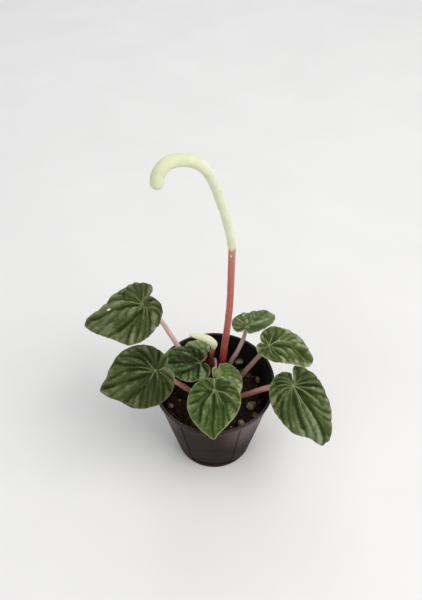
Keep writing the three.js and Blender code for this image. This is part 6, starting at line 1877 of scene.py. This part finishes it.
# ------------------------------------------------------------------ crown
def crown_mesh():
    m, rows = 96, []
    A = 2 * math.pi * np.arange(m) / m
    prof, _ = spline([[4.25, 35.3, 0], [4.1, 36.6, 0], [4.15, 37.8, 0], [3.95, 39.1, 0], [3.3, 40.4, 0], [2.2, 41.3, 0], [1.0, 41.6, 0], [0.15, 41.65, 0]], 46)
    feet = [math.atan2(s["pts"][0][1], s["pts"][0][0]) for s in STALKS.values()]
    for r, z, _ in prof:
        q = np.stack([np.cos(A) * r, np.sin(A) * r, np.full(m, z)], 1)
        swell = sum(0.30 * np.exp(-(((A - f + math.pi) % (2 * math.pi) - math.pi) / 0.22) ** 2) for f in feet) * math.exp(-((z - 38.6) / 1.6) ** 2)
        scar = -0.12 * np.exp(-(((z * 1.0 + 0.5 * np.sin(2 * A)) % 1.25 - 0.6) / 0.16) ** 2)
        k = r + (swell + scar + 0.22 * fbm(q / 1.1, 601, 3)) * min(1, r / 2)
        rows.append(np.stack([np.cos(A) * k, np.sin(A) * k, z + 0.12 * fbm(q / 0.9, 602, 2)], 1))
    R = len(rows)
    verts = np.vstack(rows + [[[0, 0, 35.2]], [[0, 0, 41.7]]])
    f, uv = ring_faces(R, m)
    k = np.arange(m)
    k2 = (k + 1) % m
    return make_mesh("crown_stem", verts, [f, np.stack([np.full(m, R * m), k2, k], 1), np.stack([np.full(m, R * m + 1), (R - 1) * m + k, (R - 1) * m + k2], 1)],
                     attrs={"share": np.clip((verts[:, 2] - 35.5) / 6.2, 0, 1)})


def crown_material():
    k = Mat("crown_skin")
    at = k.attr("share")
    n = k.noise(1.1, 5, 0.62)
    col = k.ramp(k.math("ADD", at, k.math("MULTIPLY", k.math("SUBTRACT", n, 0.5), 0.6), clamp=True),
                 [(0.0, lin(54, 34, 26)), (0.35, lin(96, 54, 44)), (0.7, lin(136, 74, 62)), (1.0, lin(158, 96, 78))])
    col = k.mix(k.map(k.noise(0.5, 4, 0.7), 0.55, 0.72, 0, 0.6), col, lin(60, 38, 28))
    nrm = k.bump(k.noise(0.4, 4, 0.65), 0.45, 0.10)
    k.set(Base_Color=col, Roughness=k.map(n, 0.3, 0.7, 0.45, 0.75), Normal=nrm)
    k.b.inputs["Specular IOR Level"].default_value = 0.35
    return k.m


piece("crown_stem", crown_mesh(), crown_material(), ["crown"])

# ------------------------------------------------------------------ floor, light, camera
def stage_floor():
    me = bpy.data.meshes.new("floor")
    s, z = 2.4, -0.00002
    me.from_pydata([(-s, -s, z), (s, -s, z), (s, s, z), (-s, s, z)], [], [(0, 1, 2, 3)])
    ob = bpy.data.objects.new("floor", me)
    bpy.context.scene.collection.objects.link(ob)
    k = Mat("floor_paper")
    k.set(Base_Color=k.ramp(k.noise(60, 2), [(0.3, (0.83, 0.83, 0.835, 1)), (0.7, (0.86, 0.86, 0.865, 1))]), Roughness=k.map(k.noise(20, 3), 0.3, 0.7, 0.75, 0.85))
    k.b.inputs["Specular IOR Level"].default_value = 0.15
    me.materials.append(k.m)
    return ob


stage_floor()


def area_light(name, at, to, size, power, colour=(1, 1, 1)):
    d = bpy.data.lights.new(name, "AREA")
    d.shape = "RECTANGLE"
    d.size, d.size_y = size
    d.energy = power
    d.color = colour
    ob = bpy.data.objects.new(name, d)
    bpy.context.scene.collection.objects.link(ob)
    ob.location = Vector(at)
    ob.rotation_euler = (Vector(to) - Vector(at)).to_track_quat("-Z", "Y").to_euler()
    return ob


area_light("key", (0.55, -0.25, 0.85), (0.0, 0.0, 0.07), (0.8, 0.8), 6.6, (1.0, 0.985, 0.955))
area_light("fill", (-0.75, -0.55, 0.60), (0.0, 0.0, 0.07), (0.7, 0.7), 1.6, (1.0, 0.99, 0.98))
area_light("back", (-0.10, 0.80, 0.75), (0.0, 0.0, 0.08), (0.7, 0.4), 1.4, (1.0, 1.0, 1.0))

world = bpy.data.worlds.new("studio")
bpy.context.scene.world = world
world.use_nodes = True
world.node_tree.nodes["Background"].inputs[0].default_value = (0.955, 0.955, 0.955, 1)
world.node_tree.nodes["Background"].inputs[1].default_value = 0.54

cam = bpy.data.cameras.new("camera")
cam.sensor_width = 36.0
cam.lens = 39.0
cam.clip_start, cam.clip_end = 0.01, 20
camera = bpy.data.objects.new("camera", cam)
bpy.context.scene.collection.objects.link(camera)
_roll = -0.4 * DEG
_el = 47.9 * DEG
_back = Vector((0, -math.cos(_el), math.sin(_el)))
_right0 = Vector((1, 0, 0))
_up0 = _back.cross(_right0)
_right = math.cos(_roll) * _right0 + math.sin(_roll) * _up0
_up = -math.sin(_roll) * _right0 + math.cos(_roll) * _up0
camera.matrix_world = Matrix(((_right.x, _up.x, _back.x, -0.001252), (_right.y, _up.y, _back.y, -0.185416),
                              (_right.z, _up.z, _back.z, 0.315744), (0, 0, 0, 1)))
bpy.context.scene.camera = camera
bpy.context.scene.view_settings.view_transform = "Standard"
